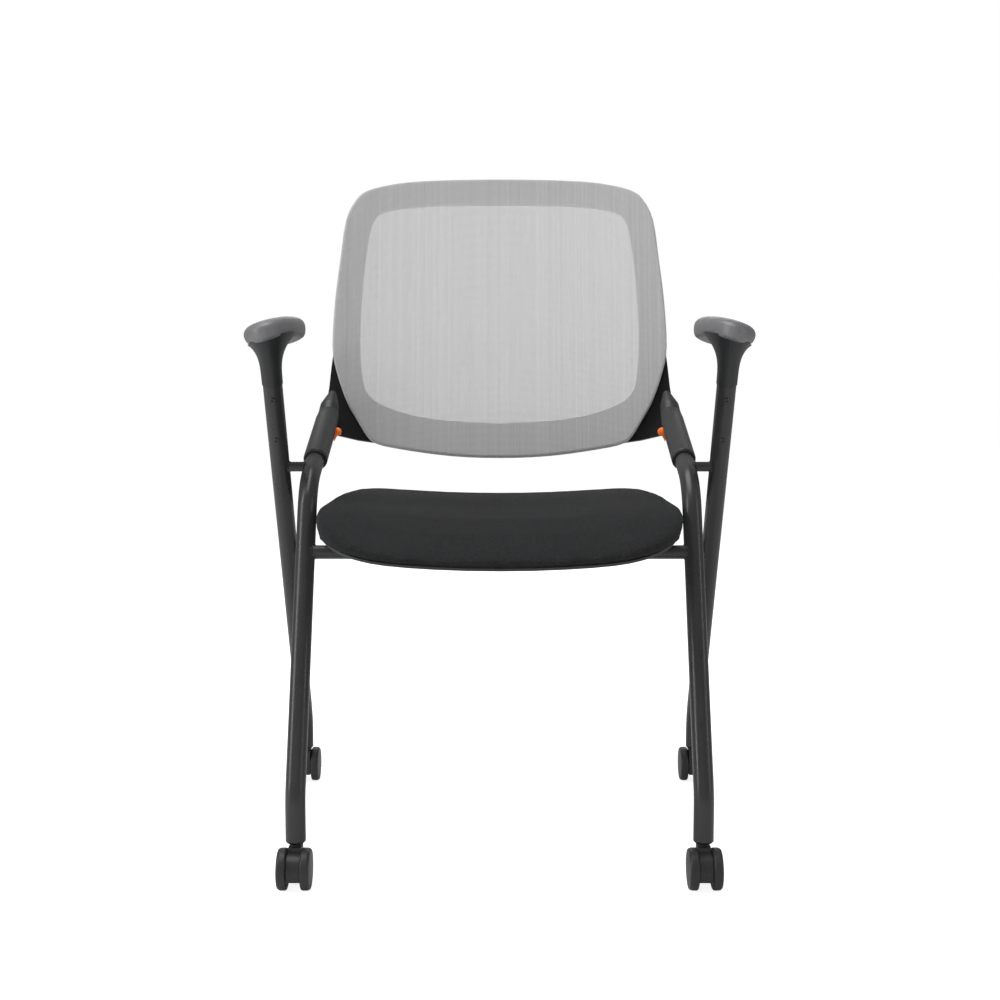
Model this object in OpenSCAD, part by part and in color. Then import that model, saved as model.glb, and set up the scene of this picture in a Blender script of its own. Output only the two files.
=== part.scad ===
// Nesting chair: two crossed side frames on casters, a mesh back and a seat that flips up.
// The origin is on the floor, midway between the four caster stems.
// +X is to the right as seen from the front, +Y points to the back and +Z points up.

/* [Side frames] */
// Outside diameter of the leg tubes
tube_d = 24.5; // [23:0.5:26]
// Wall of the leg tubes
tube_wall = 2; // [1.5:0.1:2.5]
// Gap between the seat and the front leg beside it
seat_side_gap = 11.75; // [9:0.25:16]
// Distance of the rear casters outside the front legs, centre to centre
rear_spread = 47; // [45:0.5:60]
// Distance from the front caster stems to the rear ones
stem_base = 420; // [400:5:440]
// Radius of the tube bends, on the centre line
bend_r = 80; // [60:5:90]
// Height at which the front legs start to lean
front_bend_z = 109.6; // [100:0.2:130]
// Lean of the front legs from upright, in degrees
front_lean = 22.2; // [21:0.1:23.5]
// Height at which the rear legs start to lean
rear_bend_z = 99.7; // [95:0.1:120]
// Lean of the rear legs from upright, in degrees
rear_lean = 30.3; // [29.5:0.1:31]
// Turn of the leaning rear legs towards the middle, in degrees
rear_toe = 1.31; // [0:0.01:2]
// Height of the crook where the front legs turn back under the arms of the back
crook_z = 473.5; // [465:0.5:480]
// Rise of the tube behind the crook, in degrees
arm_rise = 20; // [18:0.5:22]
// Height of the top end of the rear legs
post_top_z = 640; // [620:1:660]
// Diameter of the spacer bars where the tubes cross
spacer_d = 13; // [8:0.5:18]
// Height of the spacer bars above the crossing of the tube axes
spacer_lift = 3; // [0:0.5:5]
// Diameter of the front rail
front_rail_d = 17; // [14:0.5:20]
// Height of the front rail's axis
front_rail_z = 390; // [380:1:392]
// Diameter of the rail that the seat turns on
pivot_rail_d = 19; // [16:0.5:21]
// Height of the pivot rail's axis
pivot_rail_z = 370; // [362:1:376]
// Wall of the two rails
rail_wall = 1.5; // [1:0.1:2.5]

/* [Casters] */
// Diameter of a caster wheel
wheel_d = 50; // [46:1:54]
// Width of a caster wheel
wheel_w = 12.4; // [11:0.1:14]
// Width of the caster body between its wheels
caster_body_w = 15.6; // [15:0.1:18]
// Gap between a wheel and the caster body
wheel_gap = 0.7; // [0.4:0.1:1.2]
// Distance from the stem to the wheel axle
caster_trail = 13; // [10:0.5:16]
// Height of the leg ends above the wheels
neck_h = 6.5; // [5:0.5:12]
// Diameter of the caster stem
stem_d = 11; // [9:0.5:12]
// Length of the stem inside the leg
stem_l = 18; // [14:1:19]
// Diameter of the wheel axle
axle_d = 6; // [5:0.5:8]

/* [Seat] */
// Width of the seat
seat_w = 442; // [430:2:446]
// Depth of the seat
seat_l = 440; // [420:5:450]
// Distance of the seat's front edge in front of the origin
seat_front = 237; // [230:1:245]
// Height of the upholstery's top in the middle of the seat
seat_z = 439.5; // [437:0.5:446]
// Thickness of the upholstery
cushion_t = 26; // [22:1:28]
// Rise of the seat from its middle to its sides
seat_dish = 14; // [6:1:16]
// Radius of the fall of the seat's front edge
fall_r = 150; // [145:5:260]
// Distance of the start of that fall behind the front edge
fall_l = 115; // [80:5:120]
// Thickness of the seat board
board_t = 7; // [5:0.5:8]
// Thickness of the seat pan
pan_t = 3; // [2:0.5:4]
// Distance of a hinge clip inside the seat's edge
clip_inset = 67; // [50:1:110]
// Width of a hinge clip along the rail
clip_w = 26; // [18:1:34]
// Wall of a hinge clip round the rail
clip_wall = 4; // [3:0.5:5]
// Distance of a rubber buffer inside the seat's edge
buffer_inset = 97; // [60:1:150]
// Diameter of a rubber buffer
buffer_d = 18; // [12:1:24]

/* [Back] */
// Height of the mesh back, along its slope
back_h = 423; // [400:1:440]
// Recline of the back from upright, in degrees
back_tilt = 12.3; // [11:0.1:14]
// Height of the lowest point of the back
back_z = 491; // [488:1:496]
// Distance of that point behind the origin
back_y = 205; // [202:1:212]
// Radius of the back's curve round the sitter
back_r = 900; // [850:10:1000]
// Thickness of the back ring
ring_t = 14; // [10:0.5:16]
// Thickness of the mesh
mesh_t = 1.5; // [1:0.1:2]
// Width of the ring's sides, beside its window
side_border = 39.5; // [35:0.5:45]
// Width of the ring below its window
low_border = 50; // [44:1:56]
// Width of the ring above its window
top_border = 37; // [32:1:45]
// Thickness of the wings behind the ring
wing_t = 8; // [6:0.5:10]

/* [Socket arms] */
// Outside diameter of the socket arms
arm_d = 32; // [30:0.5:34]
// Distance from the crook to the mouth of the socket, along the tube
mouth_l = 75; // [70:1:80]
// Depth to which the tube enters the socket
socket_l = 46; // [36:1:56]
// Length of the straight part of the arm, from the crook
arm_l = 212; // [206:1:216]
// Diameter of the back's hinge pins
pin_d = 6; // [5:0.5:7]
// Distance of the back's hinge from the crook, along the tube
hinge_l = 192; // [188:1:196]
// Drop of the back's hinge below the axis of the arm
hinge_drop = 8; // [6:0.5:9]
// Outside diameter of the elastomer bush
bush_d = 13; // [12:0.5:14]
// Width of the elastomer bush along the pin
bush_w = 12.4; // [10:0.2:13]
// Length of the bush's tip below the pin
bush_tip = 13.5; // [12:0.5:15]
// Thickness of the lug of the wing
lug_t = 11; // [9:0.5:12]

/* [Armrests] */
// Width of an armrest pad
pad_w = 73; // [66:1:84]
// Length of an armrest pad
pad_l = 210; // [190:5:240]
// Thickness of an armrest pad
pad_t = 21; // [18:1:28]
// Roll of a pad, its outer side down, in degrees
pad_roll = 16.5; // [10:0.5:20]
// Distance of a pad's front tip in front of the origin
pad_front = 144; // [140:1:155]
// Height of the middle of a pad's underside
pad_z = 660; // [655:1:665]
// Distance of a pad's middle outwards from the top of its post
pad_offset = 0.7; // [-5:0.1:5]
// Thickness of the armrest support below the pad
support_t = 5; // [4:0.5:8]
// Length of the stem of the armrest support inside its post
insert_l = 145; // [140:5:160]

/* [Hidden] */

// Clearances and shared small sizes
fit = 0.05;
seat_gap = 0.3;
overrun = 1;
bend_lap = 0.3;
bend_thin = 0.03;
edge_r = 2.5;
rim_r = 3;
left = -1;
right = 1;
front = -1;
rear = 1;

// Side frame: centre lines in the plane of each leg
leg_end_z = wheel_d + neck_h;
half_base = stem_base / 2;
half_front = seat_w / 2 + seat_side_gap + tube_d / 2;
half_rear = half_front + rear_spread;
crook_bend = 90 - front_lean - arm_rise;
low_tangent = bend_r * tan(front_lean / 2);
crook_tangent = bend_r * tan(crook_bend / 2);
rear_tangent = bend_r * tan(rear_lean / 2);
function front_y(z) = (z - front_bend_z) * tan(front_lean) - half_base;
function rear_run(z) = (z - rear_bend_z) * tan(rear_lean);
function rear_y(z) = half_base - rear_run(z) * cos(rear_toe);
function rear_x(z) = half_rear - rear_run(z) * sin(rear_toe);
crook_y = front_y(crook_z);
front_steps = [
    [front_bend_z - leg_end_z - low_tangent - bend_lap],
    [bend_r, front_lean],
    [(crook_z - front_bend_z) / cos(front_lean) - low_tangent - crook_tangent],
    [bend_r, crook_bend],
    [mouth_l + socket_l - crook_tangent - bend_lap]
];
rear_steps = [
    [rear_bend_z - leg_end_z - rear_tangent - bend_lap],
    [bend_r, rear_lean],
    [(post_top_z - rear_bend_z) / cos(rear_lean) - rear_tangent - bend_lap]
];
// Height at which the rear leg's axis crosses the front tube behind its crook
cross_k = tan(rear_lean) * cos(rear_toe) * tan(arm_rise);
cross_z = (crook_z + tan(arm_rise) * (half_base - crook_y) + cross_k * rear_bend_z) / (1 + cross_k);
spacer_z = cross_z + spacer_lift;

// Armrest screws, from the top end of the post downwards
screw_top = 62;
screw_pitch = 60;
screw_d = 4;
screw_head_d = 7;
screw_head_h = 1.6;
screw_l = 12;

// Casters
axle_z = wheel_d / 2;
wheel_x = caster_body_w / 2 + wheel_gap;
plug_l = rear_bend_z - rear_tangent - leg_end_z - seat_gap;
plug_rim_h = 3;
plug_rim_chamfer = 2;
collar_d = 13.6;
body_floor = 13.5;
stem_root = 16;
body_nose = 5;
tread_r = 5.5;
axle_cap = 2.5;
// Rise of a wheel's outer face from its tread to its middle, and the radius of that dome
wheel_dome = 1.6;
dome_r = (pow(wheel_d / 2, 2) + pow(wheel_dome, 2)) / (2 * wheel_dome);

// Seat
seat_mid_y = seat_l / 2 - seat_front;
fall_y = fall_l - seat_front;
clip_x = seat_w / 2 - clip_inset;
buffer_x = seat_w / 2 - buffer_inset;
low_fall_share = 0.45;
pivot_y = rear_y(pivot_rail_z);
pivot_x = rear_x(pivot_rail_z);
front_rail_y = front_y(front_rail_z);
clip_plate_t = 4;
clip_plate_l = 52;
clip_bolt_y = 20;
clip_bolt_d = 5;
clip_head_d = 9;
clip_head_h = 2.5;
// Section of the upholstery, from the middle of its flat underside round to its crown:
// shares of the way out to the edge and of the thickness
under_share = [0.3, 0.55, 0.7, 0.82, 0.9];
cushion_share = [
    [0.958, 0.03], [0.987, 0.16], [1, 0.36], [0.998, 0.6], [0.988, 0.8],
    [0.968, 0.92], [0.93, 0.98], [0.8, 1], [0.6, 1], [0.35, 1]
];
// Edges of the board and of the pan, in the same shares
board_share = 0.965;
pan_share = 0.975;
// Half of the seat's outline, from its front tip: shares of half the width and of the depth
seat_plan_share = [
    [0, 0], [0.35, 0.001], [0.62, 0.006], [0.76, 0.021], [0.86, 0.046], [0.935, 0.085], [0.98, 0.14],
    [1, 0.25], [1, 0.45], [0.995, 0.66], [0.98, 0.77], [0.945, 0.87], [0.88, 0.95], [0.77, 0.985],
    [0.6, 0.998], [0.35, 1], [0, 1]
];
// The back is as wide as the frame between the axes of its arms
back_w = 2 * half_front;
window_w = back_w - 2 * side_border;
window_h = back_h - low_border - top_border;
// Half of the back's outline, from its lowest point: shares of half the width and of the height
back_outline_share = [
    [0, 0], [0.3, 0.006], [0.6, 0.027], [0.735, 0.043], [0.79, 0.066], [0.848, 0.12], [0.913, 0.188],
    [0.973, 0.291], [0.997, 0.378], [0.985, 0.538], [0.959, 0.682], [0.928, 0.827], [0.87, 0.906],
    [0.8, 0.942], [0.669, 0.968], [0.5, 0.986], [0.25, 0.997], [0, 1]
];
// Half of the window's outline, in the same way
window_outline_share = [
    [0, 0], [0.355, 0.009], [0.569, 0.024], [0.711, 0.044], [0.852, 0.076], [0.93, 0.112],
    [0.97, 0.16], [0.99, 0.235], [1, 0.335], [0.999, 0.446], [0.985, 0.627], [0.953, 0.809],
    [0.927, 0.89], [0.88, 0.938], [0.796, 0.96], [0.724, 0.971], [0.58, 0.985], [0.363, 0.996], [0, 1]
];

// Back wings: outline in the back's own plane, as shares of half its width and of its height
ring_inset = 3;
wing_share = [
    [0.73, 0.048], [0.85, 0.056], [0.97, 0.07], [1.02, 0.1], [1.035, 0.15], [1.03, 0.19], [1.018, 0.235],
    [1.008, 0.3], [0.995, 0.37], [0.96, 0.39], [0.9, 0.33], [0.84, 0.22], [0.76, 0.15], [0.7, 0.1]
];
wing_screw_d = 5;
wing_screw_head_d = 9;
wing_screw_head_h = 2;
wing_screw_l = 16;
wing_screw_share = [[0.94, 0.3], [0.785, 0.12]];

// Socket arm: its tail bends up to stand in front of the wing
tail_bend = 30;
tail_r = 70;
tail_l = 24;
tail_root_d = 27;
tail_tip_d = 10;
tail_shift = 3.5;
tail_step = 0.4;
slice = 0.5;
seal_t = 2;
bush_inset = 9.6;
bush_cap = 2.4;
bush_tip_out = 4;
bush_face = half_front - bush_inset;
lug_face = bush_face + seat_gap;
lug_eye_r = 9;
lug_rise = 12.5;
lug_l = 24;
tip_share = 0.85;
slot_gap = 1;
slot_l = 3 * arm_d;
pocket_wall = 1;
hinge_y = crook_y + hinge_l * cos(arm_rise) + hinge_drop * sin(arm_rise);
hinge_z = crook_z + hinge_l * sin(arm_rise) - hinge_drop * cos(arm_rise);
pin_deep = 10;

// Armrest
pad_steps = 40;
pad_plan_power = 0.95;
// Section of the pad, from the middle of its flat underside round to its crown
pad_share = [
    [0.45, 0], [0.86, 0], [0.95, 0.06], [0.99, 0.22], [1, 0.4], [0.985, 0.56], [0.94, 0.72],
    [0.85, 0.85], [0.7, 0.935], [0.4, 0.99]
];
post_x = rear_x(post_top_z);
post_y = rear_y(post_top_z);
pad_x = post_x + pad_offset;
core_d = tube_d - 2 * tube_wall - 2 * fit;
collar_wall = 0.9;
collar_l = 44;
support_inset = 10;
// Flare of the support, from the collar round the post up to its outline in the tray
flare_w = 62;
flare_l = 112;
flare_lead = 7;
flare_rings = 12;
flare_power = 3.6;
flare_deep = seat_gap + support_t / 2;
flare_low_z = post_top_z - collar_l * cos(rear_lean);
// Height at which the post's axis enters the plane in which the flare ends
post_drift = tan(rear_lean) * sin(rear_toe);
flare_high_z = (pad_z * cos(pad_roll) - flare_deep
    - (half_rear + post_drift * rear_bend_z - pad_x) * sin(pad_roll))
    / (cos(pad_roll) - post_drift * sin(pad_roll));

// A round section of a tube or, with no wall, of a bar
module round_section(d, wall = 0) {
    difference() {
        circle(d = d, $fn = 48);
        if (wall > 0) circle(d = d - 2 * wall, $fn = 48);
    }
}

// Follows steps that start upwards and bend towards +Y: [length] or [bend radius, bend angle].
// The wall is a little thinner in the bends, and the straight lengths lap over their ends.
module tube_walk(steps, d, wall = 0, i = 0) {
    if (i < len(steps)) {
        if (len(steps[i]) == 1) {
            translate([0, 0, -bend_lap]) linear_extrude(height = steps[i][0] + 2 * bend_lap)
                round_section(d, wall);
            translate([0, 0, steps[i][0]]) tube_walk(steps, d, wall, i + 1);
        } else {
            translate([0, steps[i][0], 0]) {
                rotate([0, 90, 0]) rotate([0, 0, -90 - steps[i][1]])
                    rotate_extrude(angle = steps[i][1], $fn = 96)
                        translate([steps[i][0], 0])
                            round_section(d - 2 * bend_thin, max(0, wall - 2 * bend_thin));
                rotate([-steps[i][1], 0, 0]) translate([0, -steps[i][0], 0])
                    tube_walk(steps, d, wall, i + 1);
            }
        }
    }
}

module mirrored(side) {
    mirror([side < 0 ? 1 : 0, 0, 0]) children();
}

module at_rear_leg() {
    translate([half_rear, half_base, leg_end_z]) rotate([0, 0, -rear_toe]) mirror([0, 1, 0]) children();
}

// At the top end of the rear leg, +Z along the tube
module at_post_top() {
    translate([post_x, post_y, post_top_z]) rotate([0, 0, -rear_toe]) rotate([rear_lean, 0, 0]) children();
}

// At the crook of the front leg, +Z along the tube that rises to the back and +Y upwards
module at_crook() {
    translate([half_front, crook_y, crook_z]) rotate([arm_rise - 90, 0, 0]) rotate([0, 0, 180]) children();
}

module front_leg(side) {
    color("#3f4042") mirrored(side) translate([half_front, -half_base, leg_end_z + bend_lap])
        tube_walk(front_steps, tube_d, tube_wall);
}

// Solid bars along the straight lengths of the tubes, which cope what is welded to them
module front_lean_bar() {
    translate([half_front, crook_y, crook_z]) rotate([180 - front_lean, 0, 0])
        cylinder(d = tube_d, h = (crook_z - front_bend_z) / cos(front_lean), $fn = 48);
}

module front_arm_bar() {
    at_crook() cylinder(d = tube_d, h = mouth_l, $fn = 48);
}

module rear_lean_bar() {
    at_post_top() rotate([180, 0, 0])
        cylinder(d = tube_d, h = (post_top_z - rear_bend_z) / cos(rear_lean), $fn = 48);
}

// Places a screw in the front of the post, its axis into the tube
module at_post_screws() {
    for (step = [screw_top, screw_top + screw_pitch])
        at_post_top() translate([0, -tube_d / 2, -step]) rotate([-90, 0, 0]) children();
}

module rear_leg(side) {
    color("#3f4042") mirrored(side) difference() {
        at_rear_leg() translate([0, 0, bend_lap]) tube_walk(rear_steps, tube_d, tube_wall);
        at_post_screws() translate([0, 0, -overrun])
            cylinder(d = screw_d + 2 * fit, h = tube_wall + 2 * overrun, $fn = 24);
    }
}

module spacer(side) {
    color("#3f4042") mirrored(side) difference() {
        translate([half_front, rear_y(spacer_z), spacer_z]) rotate([0, 90, 0])
            cylinder(d = spacer_d, h = rear_x(spacer_z) - half_front, $fn = 32);
        front_arm_bar();
        rear_lean_bar();
    }
}

module rail(y, z, half_l, d) {
    translate([-half_l, y, z]) rotate([0, 90, 0])
        linear_extrude(height = 2 * half_l) round_section(d, rail_wall);
}

module front_rail() {
    color("#3f4042") difference() {
        rail(front_rail_y, front_rail_z, half_front, front_rail_d);
        mirrored(left) front_lean_bar();
        mirrored(right) front_lean_bar();
    }
}

module pivot_rail() {
    color("#3f4042") difference() {
        rail(pivot_y, pivot_rail_z, pivot_x, pivot_rail_d);
        mirrored(left) rear_lean_bar();
        mirrored(right) rear_lean_bar();
    }
}

// Stands at the stem of one caster, +Y away from the middle of the chair
module at_stem(side, end) {
    mirrored(side) translate([end < 0 ? half_front : half_rear, end * half_base, 0])
        rotate([0, 0, end < 0 ? 180 : 0]) children();
}

module leg_plug(side, end) {
    color("#2b2c2e") at_stem(side, end) translate([0, 0, leg_end_z]) rotate_extrude($fn = 48)
        difference() {
            polygon([
                [0, -plug_rim_h],
                [tube_d / 2 - plug_rim_chamfer, -plug_rim_h],
                [tube_d / 2, plug_rim_chamfer - plug_rim_h],
                [tube_d / 2, 0],
                [tube_d / 2 - tube_wall - fit, 0],
                [tube_d / 2 - tube_wall - fit, plug_l],
                [0, plug_l]
            ]);
            translate([0, -plug_rim_h - overrun])
                square([stem_d / 2 + fit, plug_rim_h + stem_l + overrun + seat_gap]);
        }
}

module caster_stem(side, end) {
    color("#8f9193") at_stem(side, end) translate([0, 0, wheel_d]) {
        translate([0, 0, -stem_root]) cylinder(d = stem_d, h = stem_root + neck_h + stem_l, $fn = 32);
        cylinder(d = collar_d, h = neck_h - plug_rim_h - seat_gap, $fn = 32);
    }
}

// Side outline of the caster body: a flat floor, a round nose over the axle and a square heel at the stem
module caster_outline() {
    heel = collar_d / 2 + body_nose / 2;
    difference() {
        union() {
            translate([caster_trail, axle_z]) circle(d = wheel_d - 2 * body_nose, $fn = 64);
            translate([-heel, body_floor]) square([caster_trail + heel, wheel_d - body_floor]);
        }
        translate([-wheel_d, -overrun]) square([2 * wheel_d, body_floor + overrun]);
    }
}

module caster_body(side, end) {
    color("#323335") at_stem(side, end) difference() {
        rotate([90, 0, 90]) translate([0, 0, -caster_body_w / 2])
            linear_extrude(height = caster_body_w) caster_outline();
        translate([0, caster_trail, axle_z]) rotate([0, 90, 0])
            cylinder(d = axle_d + 2 * fit, h = caster_body_w + 2 * overrun, center = true, $fn = 32);
        translate([0, 0, wheel_d - stem_root])
            cylinder(d = stem_d + 2 * fit, h = stem_root + overrun, $fn = 32);
    }
}

module caster_axle(side, end) {
    color("#8f9193") at_stem(side, end) translate([0, caster_trail, axle_z]) rotate([0, 90, 0])
        cylinder(d = axle_d, h = 2 * (wheel_x + wheel_w - axle_cap), center = true, $fn = 32);
}

// Half profile of a wheel, from its inner face at zero, with a domed outer face
module wheel_profile() {
    difference() {
        union() {
            square([wheel_d / 2 - tread_r, wheel_w]);
            translate([0, edge_r]) square([wheel_d / 2, wheel_w - edge_r - tread_r]);
            translate([wheel_d / 2 - edge_r, edge_r]) circle(r = edge_r, $fn = 32);
            translate([wheel_d / 2 - tread_r, wheel_w - tread_r]) circle(r = tread_r, $fn = 32);
        }
        translate([0, -overrun]) square([axle_d / 2 + fit, wheel_w + overrun - axle_cap]);
        translate([-wheel_d, -overrun]) square([wheel_d, wheel_w + 2 * overrun]);
    }
}

// A wheel on the outer (+1) or inner (-1) side of its caster
module wheel(side, end, face) {
    turn = end < 0 ? -face : face;
    color("#37383a") at_stem(side, end) translate([0, caster_trail, axle_z])
        rotate([0, 90 * turn, 0]) translate([0, 0, wheel_x]) rotate_extrude($fn = 64) intersection() {
            wheel_profile();
            translate([0, wheel_w - dome_r]) circle(r = dome_r, $fn = 360);
        }
}

// Smooth closed curve through mirrored half outlines
function spline_at(a, b, c, d, t) = (2 * b + (c - a) * t + (2 * a - 5 * b + 4 * c - d) * t * t
    + (3 * b - a - 3 * c + d) * t * t * t) / 2;
function mirror_share(p) = [-p[0], p[1]];
function share_at(s, i) =
    i < 0 ? mirror_share(s[-i]) : i >= len(s) ? mirror_share(s[2 * len(s) - 2 - i]) : s[i];
function half_curve(s, n) = [
    for (i = [0 : len(s) - 2]) for (k = [0 : n - 1])
        spline_at(share_at(s, i - 1), share_at(s, i), share_at(s, i + 1), share_at(s, i + 2), k / n)
];
function closed_curve(s, n) = let (h = half_curve(s, n), last = s[len(s) - 1])
    concat(h, [last], [for (i = [len(h) - 1 : -1 : 1]) mirror_share(h[i])]);
// Points of a closed curve in real sizes, drawn in from its edge by an inset
function sized(curve, w, h, inset) = [
    for (p = curve) [p[0] * (w / 2 - inset), inset + p[1] * (h - 2 * inset)]
];

// Seat surfaces: rise to the sides and fall at the front edge
function seat_fall(y) = y < fall_y ? (fall_y - y) * (fall_y - y) / (2 * fall_r) : 0;
function seat_rise(x) = seat_dish * (2 * x / seat_w) * (2 * x / seat_w);
// Lift of a point at a share h of the upholstery's height; the underside falls less than the top
function seat_form(x, y, h = 0) = seat_rise(x) - seat_fall(y) * (low_fall_share + (1 - low_fall_share) * h);
function seat_outline() = [
    for (p = sized(closed_curve(seat_plan_share, 2), seat_w, seat_l, 0)) [p[0], p[1] - seat_front]
];

// Closed skin through rings of equal length, capped by a point at both ends
module ring_skin(rings, low, high) {
    n = len(rings[0]);
    m = len(rings);
    points = concat([low], [for (r = rings) for (p = r) p], [high]);
    faces = concat(
        [for (i = [0 : n - 1]) [0, 1 + i, 1 + (i + 1) % n]],
        [for (j = [0 : m - 2]) for (i = [0 : n - 1])
            [1 + j * n + i, 1 + (j + 1) * n + (i + 1) % n, 1 + j * n + (i + 1) % n]],
        [for (j = [0 : m - 2]) for (i = [0 : n - 1])
            [1 + j * n + i, 1 + (j + 1) * n + i, 1 + (j + 1) * n + (i + 1) % n]],
        [for (i = [0 : n - 1]) [1 + m * n, 1 + (m - 1) * n + (i + 1) % n, 1 + (m - 1) * n + i]]
    );
    polyhedron(points = points, faces = faces, convexity = 4);
}

// Point of the seat: p on its outline, drawn in to a share, at a height and a share of the crown
function seat_point(p, share, z, h = 0) =
    let (x = p[0] * share, y = seat_mid_y + (p[1] - seat_mid_y) * share) [x, y, z + seat_form(x, y, h)];
function seat_ring(share, z, h = 0) = [for (p = seat_outline()) seat_point(p, share, z, h)];

// A sheet of even thickness out to a share of the seat's outline, that follows the seat's form
module seat_sheet(edge_share, low_z, t) {
    shares = concat(under_share, [edge_share]);
    rings = concat(
        [for (s = shares) seat_ring(s, low_z)],
        [for (i = [len(shares) - 1 : -1 : 0]) seat_ring(shares[i], low_z + t)]
    );
    ring_skin(rings, seat_point([0, seat_mid_y], 0, low_z), seat_point([0, seat_mid_y], 0, low_z + t));
}

cushion_low = seat_z - cushion_t;
board_low = cushion_low - seat_gap - board_t;
pan_low = board_low - seat_gap - pan_t;

// Upholstery: flat below, drawn in under its edge and crowned on top
module seat_cushion() {
    rings = concat(
        [for (s = under_share) seat_ring(s, cushion_low)],
        [for (c = cushion_share) seat_ring(c[0], cushion_low + c[1] * cushion_t, c[1])]
    );
    color("#333436") ring_skin(rings, seat_point([0, seat_mid_y], 0, cushion_low),
        seat_point([0, seat_mid_y], 0, seat_z, 1));
}

module seat_board() {
    color("#b89468") seat_sheet(board_share, board_low, board_t);
}

module seat_pan() {
    color("#2b2c2e") seat_sheet(pan_share, pan_low, pan_t);
}

// Lowest height of the pan over a clip or a buffer that spans from x1
clip_top = pan_low + seat_rise(clip_x - clip_w / 2) - seat_gap;
buffer_top = pan_low + seat_rise(buffer_x - buffer_d / 2) - seat_gap;
clip_d = pivot_rail_d + 2 * fit + 2 * clip_wall;

module at_clip_bolts(side) {
    for (end = [front, rear])
        mirrored(side) translate([clip_x, pivot_y + end * clip_bolt_y, clip_top - clip_plate_t]) children();
}

module hinge_clip(side) {
    color("#2b2c2e") difference() {
        mirrored(side) translate([clip_x - clip_w / 2, 0, 0]) {
            translate([0, pivot_y, pivot_rail_z]) rotate([0, 90, 0])
                cylinder(d = clip_d, h = clip_w, $fn = 48);
            translate([0, pivot_y - clip_d / 2, pivot_rail_z])
                cube([clip_w, clip_d, clip_top - pivot_rail_z]);
            translate([0, pivot_y - clip_plate_l / 2, clip_top - clip_plate_t])
                cube([clip_w, clip_plate_l, clip_plate_t]);
        }
        mirrored(side) translate([clip_x - clip_w, pivot_y, pivot_rail_z]) rotate([0, 90, 0])
            cylinder(d = pivot_rail_d + 2 * fit, h = 2 * clip_w, $fn = 48);
        at_clip_bolts(side) translate([0, 0, -overrun])
            cylinder(d = clip_bolt_d + 2 * fit, h = clip_plate_t + 2 * overrun, $fn = 24);
    }
}

module clip_screws() {
    color("#8f9193") for (side = [left, right]) at_clip_bolts(side) {
        translate([0, 0, -clip_head_h]) cylinder(d = clip_head_d, h = clip_head_h, $fn = 24);
        cylinder(d = clip_bolt_d, h = clip_plate_t, $fn = 24);
    }
}

module seat_buffers() {
    low = front_rail_z + front_rail_d / 2 + seat_gap;
    color("#1d1e1f") for (side = [left, right])
        mirrored(side) translate([buffer_x, front_rail_y, low])
            cylinder(d = buffer_d, h = buffer_top - low, $fn = 32);
}

// Stands in the back's plane: +X to the side, +Z up the slope and +Y to the back
module in_back() {
    translate([0, back_y, back_z]) rotate([-back_tilt, 0, 0]) children();
}

// Cuts a sheet out of the back's curve, between two depths behind the mesh
module back_sheet(points, deep, t) {
    reach = 2 * back_h;
    intersection() {
        rotate([90, 0, 0]) translate([0, 0, -reach / 2]) linear_extrude(height = reach) polygon(points);
        translate([0, -back_r, -back_h / 2]) difference() {
            cylinder(r = back_r + deep + t, h = 2 * back_h, $fn = 180);
            translate([0, 0, -overrun])
                cylinder(r = back_r + deep, h = 2 * back_h + 2 * overrun, $fn = 180);
        }
    }
}

function window_points() = [
    for (p = sized(closed_curve(window_outline_share, 2), window_w, window_h, 0)) [p[0], p[1] + low_border]
];

module back_ring() {
    color("#77797b") difference() {
        in_back() difference() {
            back_sheet(sized(closed_curve(back_outline_share, 3), back_w, back_h, ring_inset), 0, ring_t);
            rotate([90, 0, 0]) translate([0, 0, -back_h]) linear_extrude(height = 2 * back_h)
                polygon(window_points());
        }
        for (side = [left, right]) mirrored(side) at_wing_screws()
            cylinder(d = wing_screw_d + 2 * fit, h = wing_screw_l + seat_gap, $fn = 24);
    }
}

module back_mesh() {
    color("#b9babc") in_back()
        back_sheet(sized(closed_curve(back_outline_share, 3), back_w, back_h, 0), -mesh_t, mesh_t);
}

// Places screws from behind the wing, their axes along the back's own depth
module at_wing_screws() {
    for (s = wing_screw_share) {
        x = s[0] * back_w / 2;
        z = s[1] * back_h;
        y = sqrt(pow(back_r + ring_t + wing_t, 2) - x * x) - back_r;
        in_back() translate([x, y, z]) rotate([90, 0, -asin(x / (back_r + ring_t + wing_t))]) children();
    }
}

// Along the curve of the socket arm's tail: +Z along it, drawn towards the middle of the chair
module at_tail(turn, on = 0, shift = 0) {
    d = arm_d - tail_step - shift / tail_shift * (arm_d - tail_tip_d);
    at_crook() translate([shift, 0, arm_l]) translate([0, tail_r, 0]) rotate([-turn, 0, 0])
        translate([0, -tail_r, on])
            cylinder(d = d, h = slice, $fn = 32);
}

module tail_link(from_turn, from_on, from_shift, to_turn, to_on, to_shift) {
    hull() {
        at_tail(from_turn, from_on, from_shift);
        at_tail(to_turn, to_on, to_shift);
    }
}

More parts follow.
